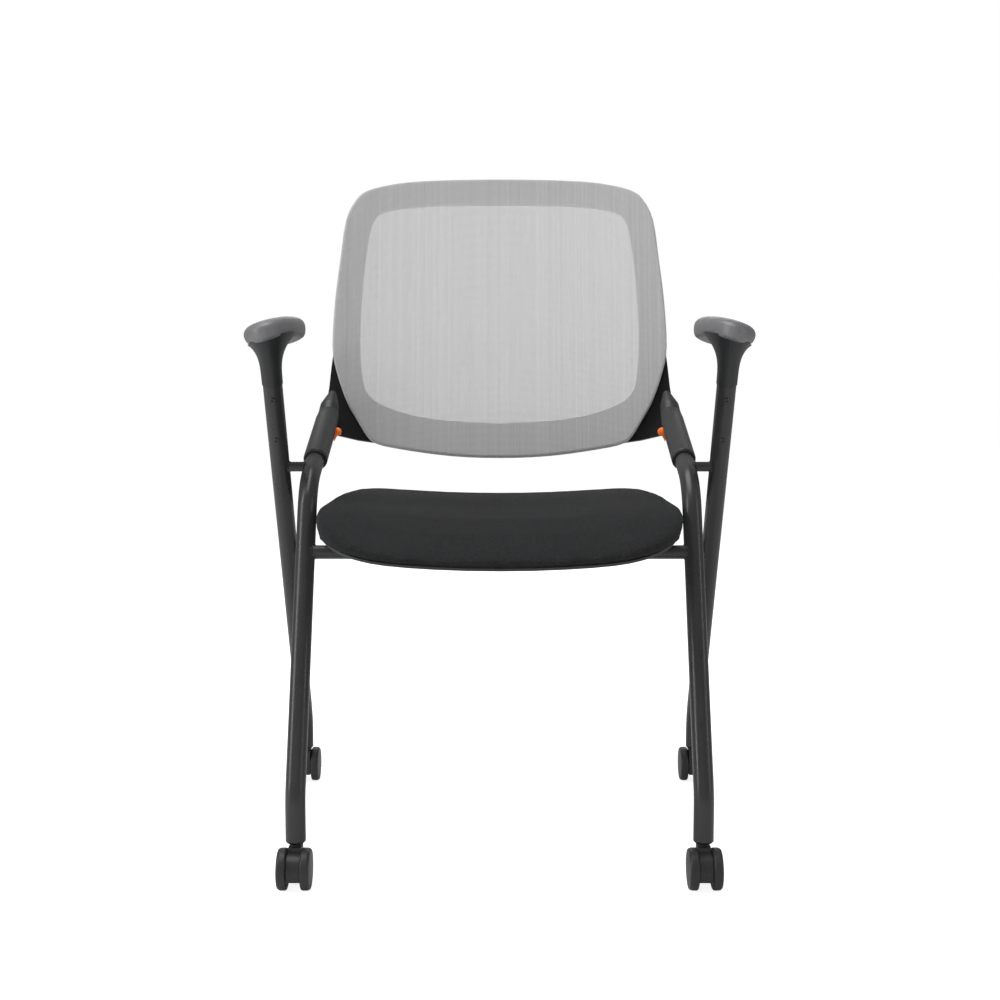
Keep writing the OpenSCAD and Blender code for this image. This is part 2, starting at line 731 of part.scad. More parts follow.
module socket_arm(side) {
    root_shift = tail_shift * (arm_d - tail_root_d) / (arm_d - tail_tip_d);
    pocket_r = bush_d / 2 + pocket_wall;
    color("#36373a") mirrored(side) difference() {
        union() {
            at_crook() translate([0, 0, mouth_l]) rotate_extrude($fn = 48) {
                difference() {
                    square([arm_d / 2, arm_l - mouth_l]);
                    translate([arm_d / 2 - rim_r, -overrun]) square([rim_r + overrun, rim_r + overrun]);
                }
                translate([arm_d / 2 - rim_r, rim_r]) circle(r = rim_r, $fn = 32);
            }
            tail_link(0, -slice, 0, tail_bend / 2, 0, root_shift / 2);
            tail_link(tail_bend / 2, 0, root_shift / 2, tail_bend, 0, root_shift);
            tail_link(tail_bend, 0, root_shift, tail_bend, tail_l, tail_shift);
        }
        // Socket for the tube and its seal
        at_crook() translate([0, 0, mouth_l - overrun])
            cylinder(d = tube_d + 2 * fit, h = socket_l + overrun, $fn = 48);
        // Slot for the lug of the wing, open below and behind
        translate([lug_face - seat_gap, hinge_y - lug_eye_r - slot_gap, hinge_z])
            translate([0, 0, lug_rise + slot_gap - slot_l])
                cube([lug_t + 2 * seat_gap, slot_l, slot_l]);
        // Pocket for the bush, open to the inner side and below
        translate([bush_face - arm_d, hinge_y - pocket_r, hinge_z + pocket_r - slot_l])
            cube([arm_d + seat_gap, 2 * pocket_r, slot_l]);
        translate([bush_face, hinge_y, hinge_z]) rotate([0, 90, 0])
            cylinder(d = pin_d + 2 * fit, h = lug_t + pin_deep, $fn = 32);
    }
}

module socket_seal(side) {
    color("#151617") mirrored(side) at_crook() translate([0, 0, mouth_l - seal_t]) difference() {
        cylinder(d = arm_d - rim_r, h = seal_t, $fn = 48);
        translate([0, 0, -overrun]) cylinder(d = tube_d + 2 * fit, h = seal_t + 2 * overrun, $fn = 48);
    }
}

module back_hinge_pins() {
    color("#8f9193") for (side = [left, right]) mirrored(side)
        translate([bush_face - bush_w + bush_cap, hinge_y, hinge_z]) rotate([0, 90, 0])
            cylinder(d = pin_d, h = bush_w - bush_cap + lug_t + pin_deep, $fn = 32);
}

// Elastomer bush on the hinge pin: round from the side and from the front, with a tip that points down.
// Its inner side is closed over the pin.
module recline_bush(side) {
    r = bush_d / 2;
    face_r = bush_w / 2;
    color("#d2591e") mirrored(side) translate([bush_face - bush_w, hinge_y, hinge_z]) difference() {
        intersection() {
            rotate([90, 0, 90]) linear_extrude(height = bush_w) {
                circle(r = r, $fn = 48);
                polygon([[-tip_share * r, 0], [0, -bush_tip], [tip_share * r, 0]]);
            }
            rotate([90, 0, 0]) translate([face_r, 0, -r - overrun])
                linear_extrude(height = 2 * r + 2 * overrun) {
                    circle(r = face_r, $fn = 48);
                    polygon([[0, 0], [0, -face_r], [bush_tip_out, -bush_tip - overrun], [face_r, 0]]);
                }
        }
        translate([bush_cap, 0, 0]) rotate([0, 90, 0])
            cylinder(d = pin_d + 2 * fit, h = bush_w, $fn = 32);
    }
}

// Depth of the wing plate's front at a place in the back's plane
function wing_front(x) = sqrt(pow(back_r + ring_t, 2) - x * x) - back_r;

module back_wing(side) {
    lug_x = lug_face + lug_t / 2;
    deep = wing_front(lug_x) + wing_t / 2;
    low_v = wing_share[2][1] * back_h;
    function root(v) = [
        back_y + v * sin(back_tilt) + deep * cos(back_tilt) - hinge_y,
        back_z + v * cos(back_tilt) - deep * sin(back_tilt) - hinge_z
    ];
    color("#2b2c2e") mirrored(side) difference() {
        union() {
            in_back() back_sheet([for (p = wing_share) [p[0] * back_w / 2, p[1] * back_h]], ring_t, wing_t);
            translate([lug_face, hinge_y, hinge_z]) rotate([90, 0, 90]) linear_extrude(height = lug_t) {
                circle(r = lug_eye_r, $fn = 48);
                polygon([
                    [0, -lug_eye_r * tip_share],
                    root(low_v),
                    root(low_v + lug_l),
                    [0, lug_eye_r * tip_share]
                ]);
            }
        }
        translate([lug_face - overrun, hinge_y, hinge_z]) rotate([0, 90, 0])
            cylinder(d = pin_d + 2 * fit, h = lug_t + 2 * overrun, $fn = 32);
        at_wing_screws() cylinder(d = wing_screw_d + 2 * fit, h = wing_screw_l, $fn = 24);
    }
}

module wing_screws() {
    color("#8f9193") for (side = [left, right]) mirrored(side) at_wing_screws() {
        translate([0, 0, -wing_screw_head_h])
            cylinder(d = wing_screw_head_d, h = wing_screw_head_h, $fn = 24);
        cylinder(d = wing_screw_d, h = wing_screw_l, $fn = 24);
    }
}

// At the middle of the pad's underside: +Y to the back and +X outwards
module at_pad() {
    translate([pad_x, pad_l / 2 - pad_front, pad_z]) rotate([0, pad_roll, 0]) children();
}

// Plan of the pad, its corners drawn out by a power below one
function pad_plan(w, l) = [
    for (i = [0 : pad_steps - 1])
        let (c = cos(360 * i / pad_steps), d = sin(360 * i / pad_steps))
        [w / 2 * sign(c) * pow(abs(c), pad_plan_power), l / 2 * sign(d) * pow(abs(d), pad_plan_power)]
];

module armrest_pad(side) {
    plan = pad_plan(pad_w, pad_l);
    rings = [for (c = pad_share) [for (p = plan) [p[0] * c[0], p[1] * c[0], c[1] * pad_t]]];
    color("#4a4b4e") mirrored(side) at_pad() ring_skin(rings, [0, 0, 0], [0, 0, pad_t]);
}

// Ring of the flare at a share of its height: it follows the post's axis and turns from the
// section of the collar into the outline in the tray
function flare_ring(share) =
    let (
        z = flare_low_z + (flare_high_z - flare_low_z) * share,
        grown = pow(share, flare_power),
        collar_r = tube_d / 2 + collar_wall,
        on_axis = [rear_x(z), rear_y(z), z],
        at_top = [rear_x(flare_high_z), rear_y(flare_high_z), flare_high_z],
        mid_y = flare_l / 2 - pad_front + flare_lead
    )
    [for (i = [0 : pad_steps - 1])
        let (
            c = cos(360 * i / pad_steps),
            d = sin(360 * i / pad_steps),
            p = pad_plan(flare_w, flare_l)[i],
            low = [
                collar_r * (c * cos(rear_toe) + d * cos(rear_lean) * sin(rear_toe)),
                collar_r * (d * cos(rear_lean) * cos(rear_toe) - c * sin(rear_toe)),
                collar_r * d * sin(rear_lean)
            ],
            high = [
                pad_x + p[0] * cos(pad_roll) - flare_deep * sin(pad_roll),
                mid_y + p[1],
                pad_z - p[0] * sin(pad_roll) - flare_deep * cos(pad_roll)
            ] - at_top
        )
        on_axis + low * (1 - grown) + high * grown];

module armrest_support(side) {
    rings = [for (i = [0 : flare_rings]) flare_ring(i / flare_rings)];
    color("#36373a") mirrored(side) difference() {
        union() {
            // Tray under the pad
            at_pad() translate([0, 0, -seat_gap - support_t]) linear_extrude(height = support_t)
                polygon(pad_plan(pad_w - 2 * support_inset, pad_l - 2 * support_inset));
            ring_skin(rings, [rear_x(flare_low_z), rear_y(flare_low_z), flare_low_z],
                [rear_x(flare_high_z), rear_y(flare_high_z), flare_high_z]);
            at_post_top() translate([0, 0, -insert_l])
                cylinder(d = core_d - 2 * fit, h = insert_l - collar_l / 2, $fn = 48);
        }
        at_post_top() translate([0, 0, -collar_l - overrun]) difference() {
            cylinder(d = tube_d + 2 * fit, h = collar_l + overrun, $fn = 48);
            translate([0, 0, -overrun]) cylinder(d = core_d, h = collar_l + 3 * overrun, $fn = 48);
        }
        at_post_screws() cylinder(d = screw_d + 2 * fit, h = screw_l + overrun, $fn = 24);
    }
}

module armrest_screws() {
    color("#8f9193") for (side = [left, right]) mirrored(side) at_post_screws() {
        translate([0, 0, -screw_head_h])
            cylinder(d1 = screw_head_d - screw_head_h, d2 = screw_head_d, h = screw_head_h, $fn = 24);
        cylinder(d = screw_d, h = screw_l, $fn = 24);
    }
}

front_leg(left);  // front_leg_left
front_leg(right);  // front_leg_right
rear_leg(left);  // rear_leg_left
rear_leg(right);  // rear_leg_right
spacer(left);  // spacer_left
spacer(right);  // spacer_right
front_rail();
pivot_rail();
leg_plug(left, front);  // leg_plug_front_left
leg_plug(right, front);  // leg_plug_front_right
leg_plug(left, rear);  // leg_plug_rear_left
leg_plug(right, rear);  // leg_plug_rear_right
armrest_support(left);  // armrest_support_left
armrest_support(right);  // armrest_support_right
armrest_pad(left);  // armrest_pad_left
armrest_pad(right);  // armrest_pad_right
armrest_screws();
socket_arm(left);  // socket_arm_left
socket_arm(right);  // socket_arm_right
socket_seal(left);  // socket_seal_left
socket_seal(right);  // socket_seal_right
back_hinge_pins();
recline_bush(left);  // recline_bush_left
recline_bush(right);  // recline_bush_right
back_ring();
back_mesh();
back_wing(left);  // back_wing_left
back_wing(right);  // back_wing_right
wing_screws();
seat_cushion();
seat_board();
seat_pan();
hinge_clip(left);  // hinge_clip_left
hinge_clip(right);  // hinge_clip_right
clip_screws();
seat_buffers();
caster_stem(left, front);  // caster_stem_front_left
caster_body(left, front);  // caster_body_front_left
caster_axle(left, front);  // caster_axle_front_left
wheel(left, front, 1);  // wheel_front_left_outer
wheel(left, front, -1);  // wheel_front_left_inner
caster_stem(right, front);  // caster_stem_front_right
caster_body(right, front);  // caster_body_front_right
caster_axle(right, front);  // caster_axle_front_right
wheel(right, front, 1);  // wheel_front_right_outer
wheel(right, front, -1);  // wheel_front_right_inner
caster_stem(left, rear);  // caster_stem_rear_left
caster_body(left, rear);  // caster_body_rear_left
caster_axle(left, rear);  // caster_axle_rear_left
wheel(left, rear, 1);  // wheel_rear_left_outer
wheel(left, rear, -1);  // wheel_rear_left_inner
caster_stem(right, rear);  // caster_stem_rear_right
caster_body(right, rear);  // caster_body_rear_right
caster_axle(right, rear);  // caster_axle_rear_right
wheel(right, rear, 1);  // wheel_rear_right_outer
wheel(right, rear, -1);  // wheel_rear_right_inner
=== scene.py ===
# %% [markdown]
# # Dressing a nesting chair
#
# The chair is built already as measured solids: crossed steel tubes on twin-wheel casters, a seat that
# flips up, a back of mesh on a stiff ring and two armrests. This lesson keeps every hard part where it
# is and gives it the finish of the real thing. The soft parts, which a solid can only block out, are
# made again as what they are: a padded seat, two moulded armrest pads and one stretched sheet of mesh.

# %% The frame
from math import atan2, cos, pi, radians, sin, sqrt, tan

import bmesh
import bpy
from mathutils import Matrix, Vector


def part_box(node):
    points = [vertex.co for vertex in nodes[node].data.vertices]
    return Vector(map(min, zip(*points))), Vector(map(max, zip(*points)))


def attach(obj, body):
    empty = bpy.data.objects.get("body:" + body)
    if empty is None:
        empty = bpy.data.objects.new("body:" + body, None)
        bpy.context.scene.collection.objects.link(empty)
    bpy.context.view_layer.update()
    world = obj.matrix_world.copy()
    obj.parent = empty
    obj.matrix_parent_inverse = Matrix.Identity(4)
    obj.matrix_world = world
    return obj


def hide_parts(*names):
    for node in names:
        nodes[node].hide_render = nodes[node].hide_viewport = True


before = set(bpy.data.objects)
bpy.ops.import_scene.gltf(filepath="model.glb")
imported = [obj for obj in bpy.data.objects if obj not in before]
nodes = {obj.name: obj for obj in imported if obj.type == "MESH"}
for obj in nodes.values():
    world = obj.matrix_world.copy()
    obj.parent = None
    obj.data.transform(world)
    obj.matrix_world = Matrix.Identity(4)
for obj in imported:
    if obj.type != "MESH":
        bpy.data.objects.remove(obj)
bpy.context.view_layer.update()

# %% [markdown]
# ## The camera
#
# The chair is seen straight from the front by a camera that is a little lower than the armrests and
# looks slightly down. Its place and tilt were solved from the picture, with the scale taken from the
# wheels and the tube, so that each part falls where it should.

# %% Camera
CAMERA_PLACE = (0.0, -1.8337, 0.620)
CAMERA_PITCH = 5.4
CAMERA_LENS = 50.0
CAMERA_SHIFT = 0.0004

scene = bpy.context.scene
camera = bpy.data.objects.new("camera", bpy.data.cameras.new("camera"))
camera.data.lens = CAMERA_LENS
camera.data.shift_x = CAMERA_SHIFT
camera.location = CAMERA_PLACE
camera.rotation_euler = (radians(90 - CAMERA_PITCH), 0, 0)
scene.collection.objects.link(camera)
scene.camera = camera
scene.view_settings.view_transform = "Standard"

# %% [markdown]
# ## Small helpers for shader nodes
#
# A material is a tree of nodes. A few helpers keep the trees short to write. The first makes a node and
# fills its inputs, either with a plain value or with another node's output. The next ones use it for a
# step of maths, for a blend of two colours and to spread one range of values over another. Two more
# start and place a node group, which is a small tree with named inputs and outputs of its own. Effects
# that several finishes share are groups, so that each is built once and tuned where it is used. The
# last ones start a bare material and turn a screen colour into the linear one that a node takes.

# %% Node helpers
def add(tree, kind, inputs=None, **settings):
    made = tree.nodes.new(kind)
    for key, value in settings.items():
        setattr(made, key, value)
    for key, value in (inputs or {}).items():
        if isinstance(value, bpy.types.NodeSocket):
            tree.links.new(value, made.inputs[key])
        else:
            made.inputs[key].default_value = value
    return made


def maths(tree, operation, *values, clamp=False):
    inputs = dict(enumerate(values))
    return add(tree, "ShaderNodeMath", inputs, operation=operation, use_clamp=clamp).outputs[0]


def blended(tree, share, first, second):
    # A Mix node has sockets for each kind of data. For colours, inputs 0, 6 and 7 and output 2 count
    return add(tree, "ShaderNodeMix", {0: share, 6: first, 7: second}, data_type="RGBA").outputs[2]


def spread(tree, value, low, high, to_low=0.0, to_high=1.0):
    ranges = {"Value": value, "From Min": low, "From Max": high, "To Min": to_low, "To Max": to_high}
    return add(tree, "ShaderNodeMapRange", ranges).outputs[0]


def new_group(name, takes, gives):
    tree = bpy.data.node_groups.new(name, "ShaderNodeTree")
    for label, kind, value in takes:
        socket = tree.interface.new_socket(name=label, in_out="INPUT", socket_type="NodeSocket" + kind)
        if value is not None:
            socket.default_value = value
    for label in gives:
        tree.interface.new_socket(name=label, in_out="OUTPUT", socket_type="NodeSocketFloat")
    inside = tree.nodes.new("NodeGroupInput").outputs
    outside = tree.nodes.new("NodeGroupOutput")
    return tree, inside, outside


def use_group(tree, group, inputs):
    return add(tree, "ShaderNodeGroup", inputs, node_tree=group).outputs


def new_material(name):
    material = bpy.data.materials.new(name)
    material.use_nodes = True
    material.node_tree.nodes.clear()
    return material, material.node_tree


def srgb(red, green, blue):
    """A colour as it is read off a screen, from 0 to 255, as the linear colour that a node takes."""
    channels = [c / 255 for c in (red, green, blue)]
    return (*[c / 12.92 if c <= 0.04045 else ((c + 0.055) / 1.055) ** 2.4 for c in channels], 1.0)

# %% [markdown]
# ## Grain of paint and moulded plastic
#
# No coated or moulded surface is perfectly even. Powder coat has a faint orange peel, moulded nylon a
# fine spark-eroded grain, and both change a little in tone from place to place. Noise at two scales
# gives both: a fine one for the relief and a broad one for the tone. Voronoi cells add the small pits.
# The pitch is in metres, so the grain has its true size on every part.

# %% Group: surface grain
grain_group, inside, outside = new_group(
    "surface grain", [("Vector", "Vector", None), ("Pitch", "Float", 0.001)], ["Height", "Tone"])
per_metre = maths(grain_group, "DIVIDE", 1.0, inside["Pitch"])
fine = add(grain_group, "ShaderNodeTexNoise", {"Vector": inside["Vector"], "Scale": per_metre, "Detail": 3.0})
pits = add(grain_group, "ShaderNodeTexVoronoi", {"Vector": inside["Vector"], "Scale": per_metre}, feature="F1")
relief = maths(grain_group, "MULTIPLY_ADD", pits.outputs["Distance"], 0.4, fine.outputs[0])
broad = add(grain_group, "ShaderNodeTexNoise", {"Vector": inside["Vector"], "Scale": 18.0, "Detail": 2.0})
tone = maths(grain_group, "MULTIPLY_ADD", fine.outputs[0], 0.35,
             maths(grain_group, "MULTIPLY", broad.outputs[0], 0.65))
grain_group.links.new(relief, outside.inputs["Height"])
grain_group.links.new(tone, outside.inputs["Tone"])

# %% [markdown]
# ## Rubbed edges
#
# Corners and rims of a used chair catch sleeves, bags and floors, and turn a little smoother and
# lighter there. A Bevel node rounds the normals near an edge, so wherever its normal leaves the true
# one an edge is close. Noise breaks the mask up, because wear is never an even line.

# %% Group: rubbed edges
rub_group, inside, outside = new_group(
    "rubbed edges", [("Vector", "Vector", None), ("Width", "Float", 0.001)], ["Mask"])
rounded = add(rub_group, "ShaderNodeBevel", {"Radius": inside["Width"]}, samples=4)
true_normal = add(rub_group, "ShaderNodeNewGeometry").outputs["Normal"]
facing = add(rub_group, "ShaderNodeVectorMath", {0: rounded.outputs[0], 1: true_normal},
             operation="DOT_PRODUCT")
edge = spread(rub_group, facing.outputs["Value"], 0.995, 0.8)
patches = add(rub_group, "ShaderNodeTexNoise", {"Vector": inside["Vector"], "Scale": 160.0, "Detail": 3.0})
mask = maths(rub_group, "MULTIPLY", edge, spread(rub_group, patches.outputs[0], 0.35, 0.65), clamp=True)
rub_group.links.new(mask, outside.inputs["Mask"])

# %% [markdown]
# ## Settled dust
#
# A little dust lies on every face that looks up. The normal's height tells which faces do, and noise
# keeps the film uneven. It is very thin here, since the chair in the picture is new.

# %% Group: settled dust
dust_group, inside, outside = new_group("settled dust", [("Vector", "Vector", None)], ["Mask"])
upward = add(dust_group, "ShaderNodeSeparateXYZ",
             {0: add(dust_group, "ShaderNodeNewGeometry").outputs["Normal"]}).outputs["Z"]
film = add(dust_group, "ShaderNodeTexNoise", {"Vector": inside["Vector"], "Scale": 70.0, "Detail": 4.0})
mask = maths(dust_group, "MULTIPLY", spread(dust_group, upward, 0.3, 1.0),
             spread(dust_group, film.outputs[0], 0.3, 0.7), clamp=True)
dust_group.links.new(mask, outside.inputs["Mask"])

# %% [markdown]
# ## Rows of stitches
#
# A knit and a woven mesh are both rows of small cells, each row half a cell on from the last. The
# group cuts the surface into such cells and gives the distance from a cell's middle, 0 there and 1 at
# its edge, and how far across the cell a point lies. On the seat the middle is a raised stitch, and on
# the back it is a hole between yarns. The last output is the cell's own random shade.

# %% Group: stitch rows
stitch_group, inside, outside = new_group(
    "stitch rows",
    [("Vector", "Vector", None), ("Across", "Float", 0.002), ("Along", "Float", 0.002)],
    ["Distance", "Across share", "Shade"])
place = add(stitch_group, "ShaderNodeSeparateXYZ", {0: inside["Vector"]}).outputs
rows = maths(stitch_group, "DIVIDE", place["Y"], inside["Along"])
row = maths(stitch_group, "FLOOR", rows)
columns = maths(stitch_group, "MULTIPLY_ADD", row, 0.5,
                maths(stitch_group, "DIVIDE", place["X"], inside["Across"]))
column = maths(stitch_group, "FLOOR", columns)
off_row = maths(stitch_group, "MULTIPLY_ADD", maths(stitch_group, "SUBTRACT", rows, row), 2.0, -1.0)
off_column = maths(stitch_group, "MULTIPLY_ADD", maths(stitch_group, "SUBTRACT", columns, column), 2.0, -1.0)
distance = maths(stitch_group, "SQRT", maths(
    stitch_group, "ADD", maths(stitch_group, "MULTIPLY", off_row, off_row),
    maths(stitch_group, "MULTIPLY", off_column, off_column)))
cell = add(stitch_group, "ShaderNodeCombineXYZ", {"X": column, "Y": row}).outputs[0]
shade = add(stitch_group, "ShaderNodeTexWhiteNoise", {"Vector": cell}, noise_dimensions="2D").outputs["Value"]
for label, value in (("Distance", distance), ("Across share", off_column), ("Shade", shade)):
    stitch_group.links.new(value, outside.inputs[label])

# %% [markdown]
# ## Hard finishes
#
# Paint, moulded plastic, rubber and screws differ in colour, gloss and grain, but each is a base tone
# that drifts, a fine relief, edges that are a little rubbed and a film of dust. One function lays
# these on a Principled shader and takes the finish's own numbers. What is the same all over, such as
# how metallic a finish is, is set on the shader itself.

# %% Hard finishes
DUST = srgb(150, 147, 142)
RUBBED_SMOOTHER = -0.08


def hard_finish(name, colour, roughness, pitch, depth, drift=0.12, gloss_drift=0.06,
                rubbed=None, rub_width=0.0012, rub=0.5, dust=0.05, metallic=0.0, specular=0.5):
    material, tree = new_material(name)
    vector = add(tree, "ShaderNodeTexCoord").outputs["Object"]
    grain = use_group(tree, grain_group, {"Vector": vector, "Pitch": pitch})
    edges = use_group(tree, rub_group, {"Vector": vector, "Width": rub_width})
    film = use_group(tree, dust_group, {"Vector": vector})
    dark = [c * (1 - drift) for c in colour[:3]] + [1.0]
    light = [c * (1 + drift) for c in colour[:3]] + [1.0]
    worn = rubbed or [min(1.0, c * 1.6 + 0.01) for c in colour[:3]] + [1.0]
    tint = blended(tree, spread(tree, grain["Tone"], 0.3, 0.7), dark, light)
    tint = blended(tree, maths(tree, "MULTIPLY", edges["Mask"], rub), tint, worn)
    tint = blended(tree, maths(tree, "MULTIPLY", film["Mask"], dust), tint, DUST)
    rough = spread(tree, grain["Tone"], 0.3, 0.7, roughness - gloss_drift, roughness + gloss_drift)
    rough = maths(tree, "MULTIPLY_ADD", edges["Mask"], RUBBED_SMOOTHER, rough)
    bump = add(tree, "ShaderNodeBump", {"Height": grain["Height"], "Distance": depth, "Strength": 1.0})
    shader = add(tree, "ShaderNodeBsdfPrincipled",
                 {"Base Color": tint, "Roughness": rough, "Normal": bump.outputs[0], "Metallic": metallic,
                  "Specular IOR Level": specular})
    add(tree, "ShaderNodeOutputMaterial", {"Surface": shader.outputs[0]})
    return material


hard = {
    "tube_paint": hard_finish("satin powder coat", srgb(44, 44, 45), 0.3, 0.0011, 0.00002, dust=0.02, rub=0.25,
                              specular=0.37),
    "arm_plastic": hard_finish("moulded nylon of the arms", srgb(35, 36, 37), 0.38, 0.0006, 0.00003, dust=0.02,
                               specular=0.37),
    "black_plastic": hard_finish("black moulded nylon", srgb(17, 17, 18), 0.5, 0.0006, 0.00006, dust=0.02,
                                 specular=0.35),
    "board_edge": hard_finish("stained plywood", srgb(30, 28, 26), 0.7, 0.0009, 0.0001, drift=0.3),
    "ring_plastic": hard_finish("grey moulded ring", srgb(112, 113, 115), 0.5, 0.0007, 0.00006, drift=0.06),
    "pan_plastic": hard_finish("moulded seat pan", srgb(46, 47, 48), 0.5, 0.0008, 0.00008),
    "caster_plastic": hard_finish("caster nylon", srgb(42, 42, 43), 0.4, 0.0006, 0.00005, dust=0.02,
                                  specular=0.3),
    "wheel_plastic": hard_finish("wheel tread", srgb(42, 42, 43), 0.42, 0.0007, 0.00005, dust=0.03, rub=0.4,
                                 specular=0.3),
    "orange_elastomer": hard_finish("orange elastomer", srgb(246, 118, 30), 0.5, 0.0008, 0.00005, drift=0.06,
                                    dust=0.02, rub=0.2),
    "seal_rubber": hard_finish("black rubber", srgb(20, 20, 21), 0.6, 0.0009, 0.00006, rub=0.2),
    "fastener_steel": hard_finish("blackened screws", srgb(58, 59, 61), 0.4, 0.0007, 0.00003, metallic=0.6,
                                  rubbed=srgb(92, 92, 94), rub_width=0.0003, dust=0.02),
}
print("Hard finishes:", ", ".join(sorted(hard)))

# %% [markdown]
# ## The finishes go on
#
# A table gives each kind of hard part its finish. Such a part is shown as it was built, so its mesh is
# not touched and only its material is exchanged. The soft parts and the screws are made anew and get
# theirs further down.

# %% Materials of the hard parts
PART_FINISH = {
    "front_leg": "tube_paint", "rear_leg": "tube_paint", "spacer": "tube_paint", "front_rail": "tube_paint",
    "pivot_rail": "tube_paint", "leg_plug": "black_plastic", "armrest_support": "arm_plastic",
    "socket_arm": "arm_plastic", "socket_seal": "seal_rubber", "recline_bush": "orange_elastomer",
    "back_hinge_pins": "fastener_steel", "back_ring": "ring_plastic", "back_wing": "black_plastic",
    "seat_pan": "pan_plastic", "seat_board": "board_edge", "hinge_clip": "black_plastic",
    "seat_buffers": "seal_rubber", "caster_stem": "fastener_steel", "caster_body": "caster_plastic",
    "caster_axle": "fastener_steel", "wheel": "wheel_plastic",
}
finished = 0
for name, part in nodes.items():
    kind = next((k for k in sorted(PART_FINISH, key=len, reverse=True) if name.startswith(k)), None)
    if kind:
        part.data.materials.clear()
        part.data.materials.append(hard[PART_FINISH[kind]])
        finished += 1
print("Parts with a hard finish:", finished, "of", len(nodes))

# %% [markdown]
# ## Meshes from parts
#
# Soft pieces start from the solid that holds their place. Its mesh is loose triangles, so a copy is
# merged first. When a piece is done its faces are smoothed, and it is given a body to ride on.

# %% Mesh helpers
MERGE = 0.00001
SMOOTH_FACTOR = 0.5
# Height of the normal below which a face counts as the underside of a soft piece
UNDERSIDE = -0.6


def merged_copy(name):
    mesh = bmesh.new()
    mesh.from_mesh(nodes[name].data)
    bmesh.ops.remove_doubles(mesh, verts=mesh.verts, dist=MERGE)
    bmesh.ops.recalc_face_normals(mesh, faces=mesh.faces)
    return mesh


def as_object(name, mesh, material=None):
    data = bpy.data.meshes.new(name)
    mesh.to_mesh(data)
    mesh.free()
    made = bpy.data.objects.new(name, data)
    scene.collection.objects.link(made)
    if material:
        data.materials.append(material)
    data.shade_smooth()
    return made


def applied(piece):
    """Bakes the piece's modifiers into its mesh."""
    bpy.context.view_layer.update()
    worked = piece.evaluated_get(bpy.context.evaluated_depsgraph_get())
    data = bpy.data.meshes.new_from_object(worked)
    piece.modifiers.clear()
    old = piece.data
    piece.data = data
    bpy.data.meshes.remove(old)


def remeshed(piece, voxel):
    """Turns a piece into one closed skin of even quads."""
    skin = piece.modifiers.new("skin", "REMESH")
    skin.mode = "VOXEL"
    skin.voxel_size = voxel
    applied(piece)


def subdivide_smoothly(piece):
    finish = piece.modifiers.new("smooth", "SUBSURF")
    finish.levels = finish.render_levels = 1


def smoothed(mesh, rounds):
    for _ in range(rounds):
        bmesh.ops.smooth_vert(
            mesh, verts=mesh.verts, factor=SMOOTH_FACTOR, use_axis_x=True, use_axis_y=True, use_axis_z=True)

# %% [markdown]
# ## The seat's upholstery
#
# The real seat is a foam slab glued to a board, with a knitted cover pulled tight over both and
# stapled under the board. It is nearly flat, dips a little in the middle and falls away in front.
# The cushion and the board are fused here into one skin by a voxel remesh, the skin is drawn in a
# little, and a short cloth simulation blows it up again, so that the cover has the even tension of
# a padded seat. Neither step moves the underside, because it lies on the pan.

# %% Seat: one skin over foam and board
SEAT_VOXEL = 0.0042
SEAT_DRAWN_IN = 0.001
SEAT_RISE_CAP = 0.0016
BOARD_LIFT = 0.0008
# The cover is folded round the board's edge, so there the skin stands out from it by this much
FOLD_OVER = 0.0045

seat_mesh = bmesh.new()
board = merged_copy("seat_board")
board_low, board_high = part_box("seat_board")
board_middle = (board_low + board_high) / 2
board_wider = [1 + 2 * FOLD_OVER / (board_high - board_low)[i] for i in (0, 1)] + [1.0]
bmesh.ops.scale(board, verts=board.verts, vec=board_wider, space=Matrix.Translation(-board_middle))
bmesh.ops.translate(board, verts=board.verts, vec=(0, 0, BOARD_LIFT))
board_data = bpy.data.meshes.new("board copy")
board.to_mesh(board_data)
board.free()
seat_mesh.from_mesh(nodes["seat_cushion"].data)
seat_mesh.from_mesh(board_data)
bpy.data.meshes.remove(board_data)
bmesh.ops.remove_doubles(seat_mesh, verts=seat_mesh.verts, dist=MERGE)
seat = as_object("seat_upholstery", seat_mesh)
remeshed(seat, SEAT_VOXEL)
print("Seat skin:", len(seat.data.vertices), "points")

# %% [markdown]
# The skin of the seat is smoothed, drawn in along its normals and given to the cloth solver as a
# closed bag under pressure. The solver's moves are capped, so that the seat keeps its outline.

# %% Seat: drawn in, then blown up as cloth
SMOOTH_ROUNDS = 3
CLOTH_FRAMES = 20
CLOTH_PRESSURE = 4.0
CLOTH_STEPS_A_FRAME = 4
CLOTH_TENSION = 30
CLOTH_BENDING = 12.0


def blown_up(piece, pressure, cap, fixed):
    """A closed skin swells under pressure as cloth. No point moves further than cap, and fixed ones stay."""
    start = [v.co.copy() for v in piece.data.vertices]
    cloth = piece.modifiers.new("cloth", "CLOTH")
    cloth.settings.quality = CLOTH_STEPS_A_FRAME
    cloth.settings.tension_stiffness = cloth.settings.compression_stiffness = CLOTH_TENSION
    cloth.settings.bending_stiffness = CLOTH_BENDING
    cloth.settings.use_pressure = True
    cloth.settings.uniform_pressure_force = pressure
    cloth.settings.effector_weights.gravity = 0
    for step in range(1, CLOTH_FRAMES + 1):
        scene.frame_set(step)
    applied(piece)
    scene.frame_set(1)
    furthest = 0.0
    for vertex, origin, stays in zip(piece.data.vertices, start, fixed):
        move = Vector() if stays else vertex.co - origin
        if move.length > cap:
            move *= cap / move.length
        furthest = max(furthest, move.length)
        vertex.co = origin + move
    print(piece.name, "swelled by up to", round(furthest * 1000, 2), "mm")


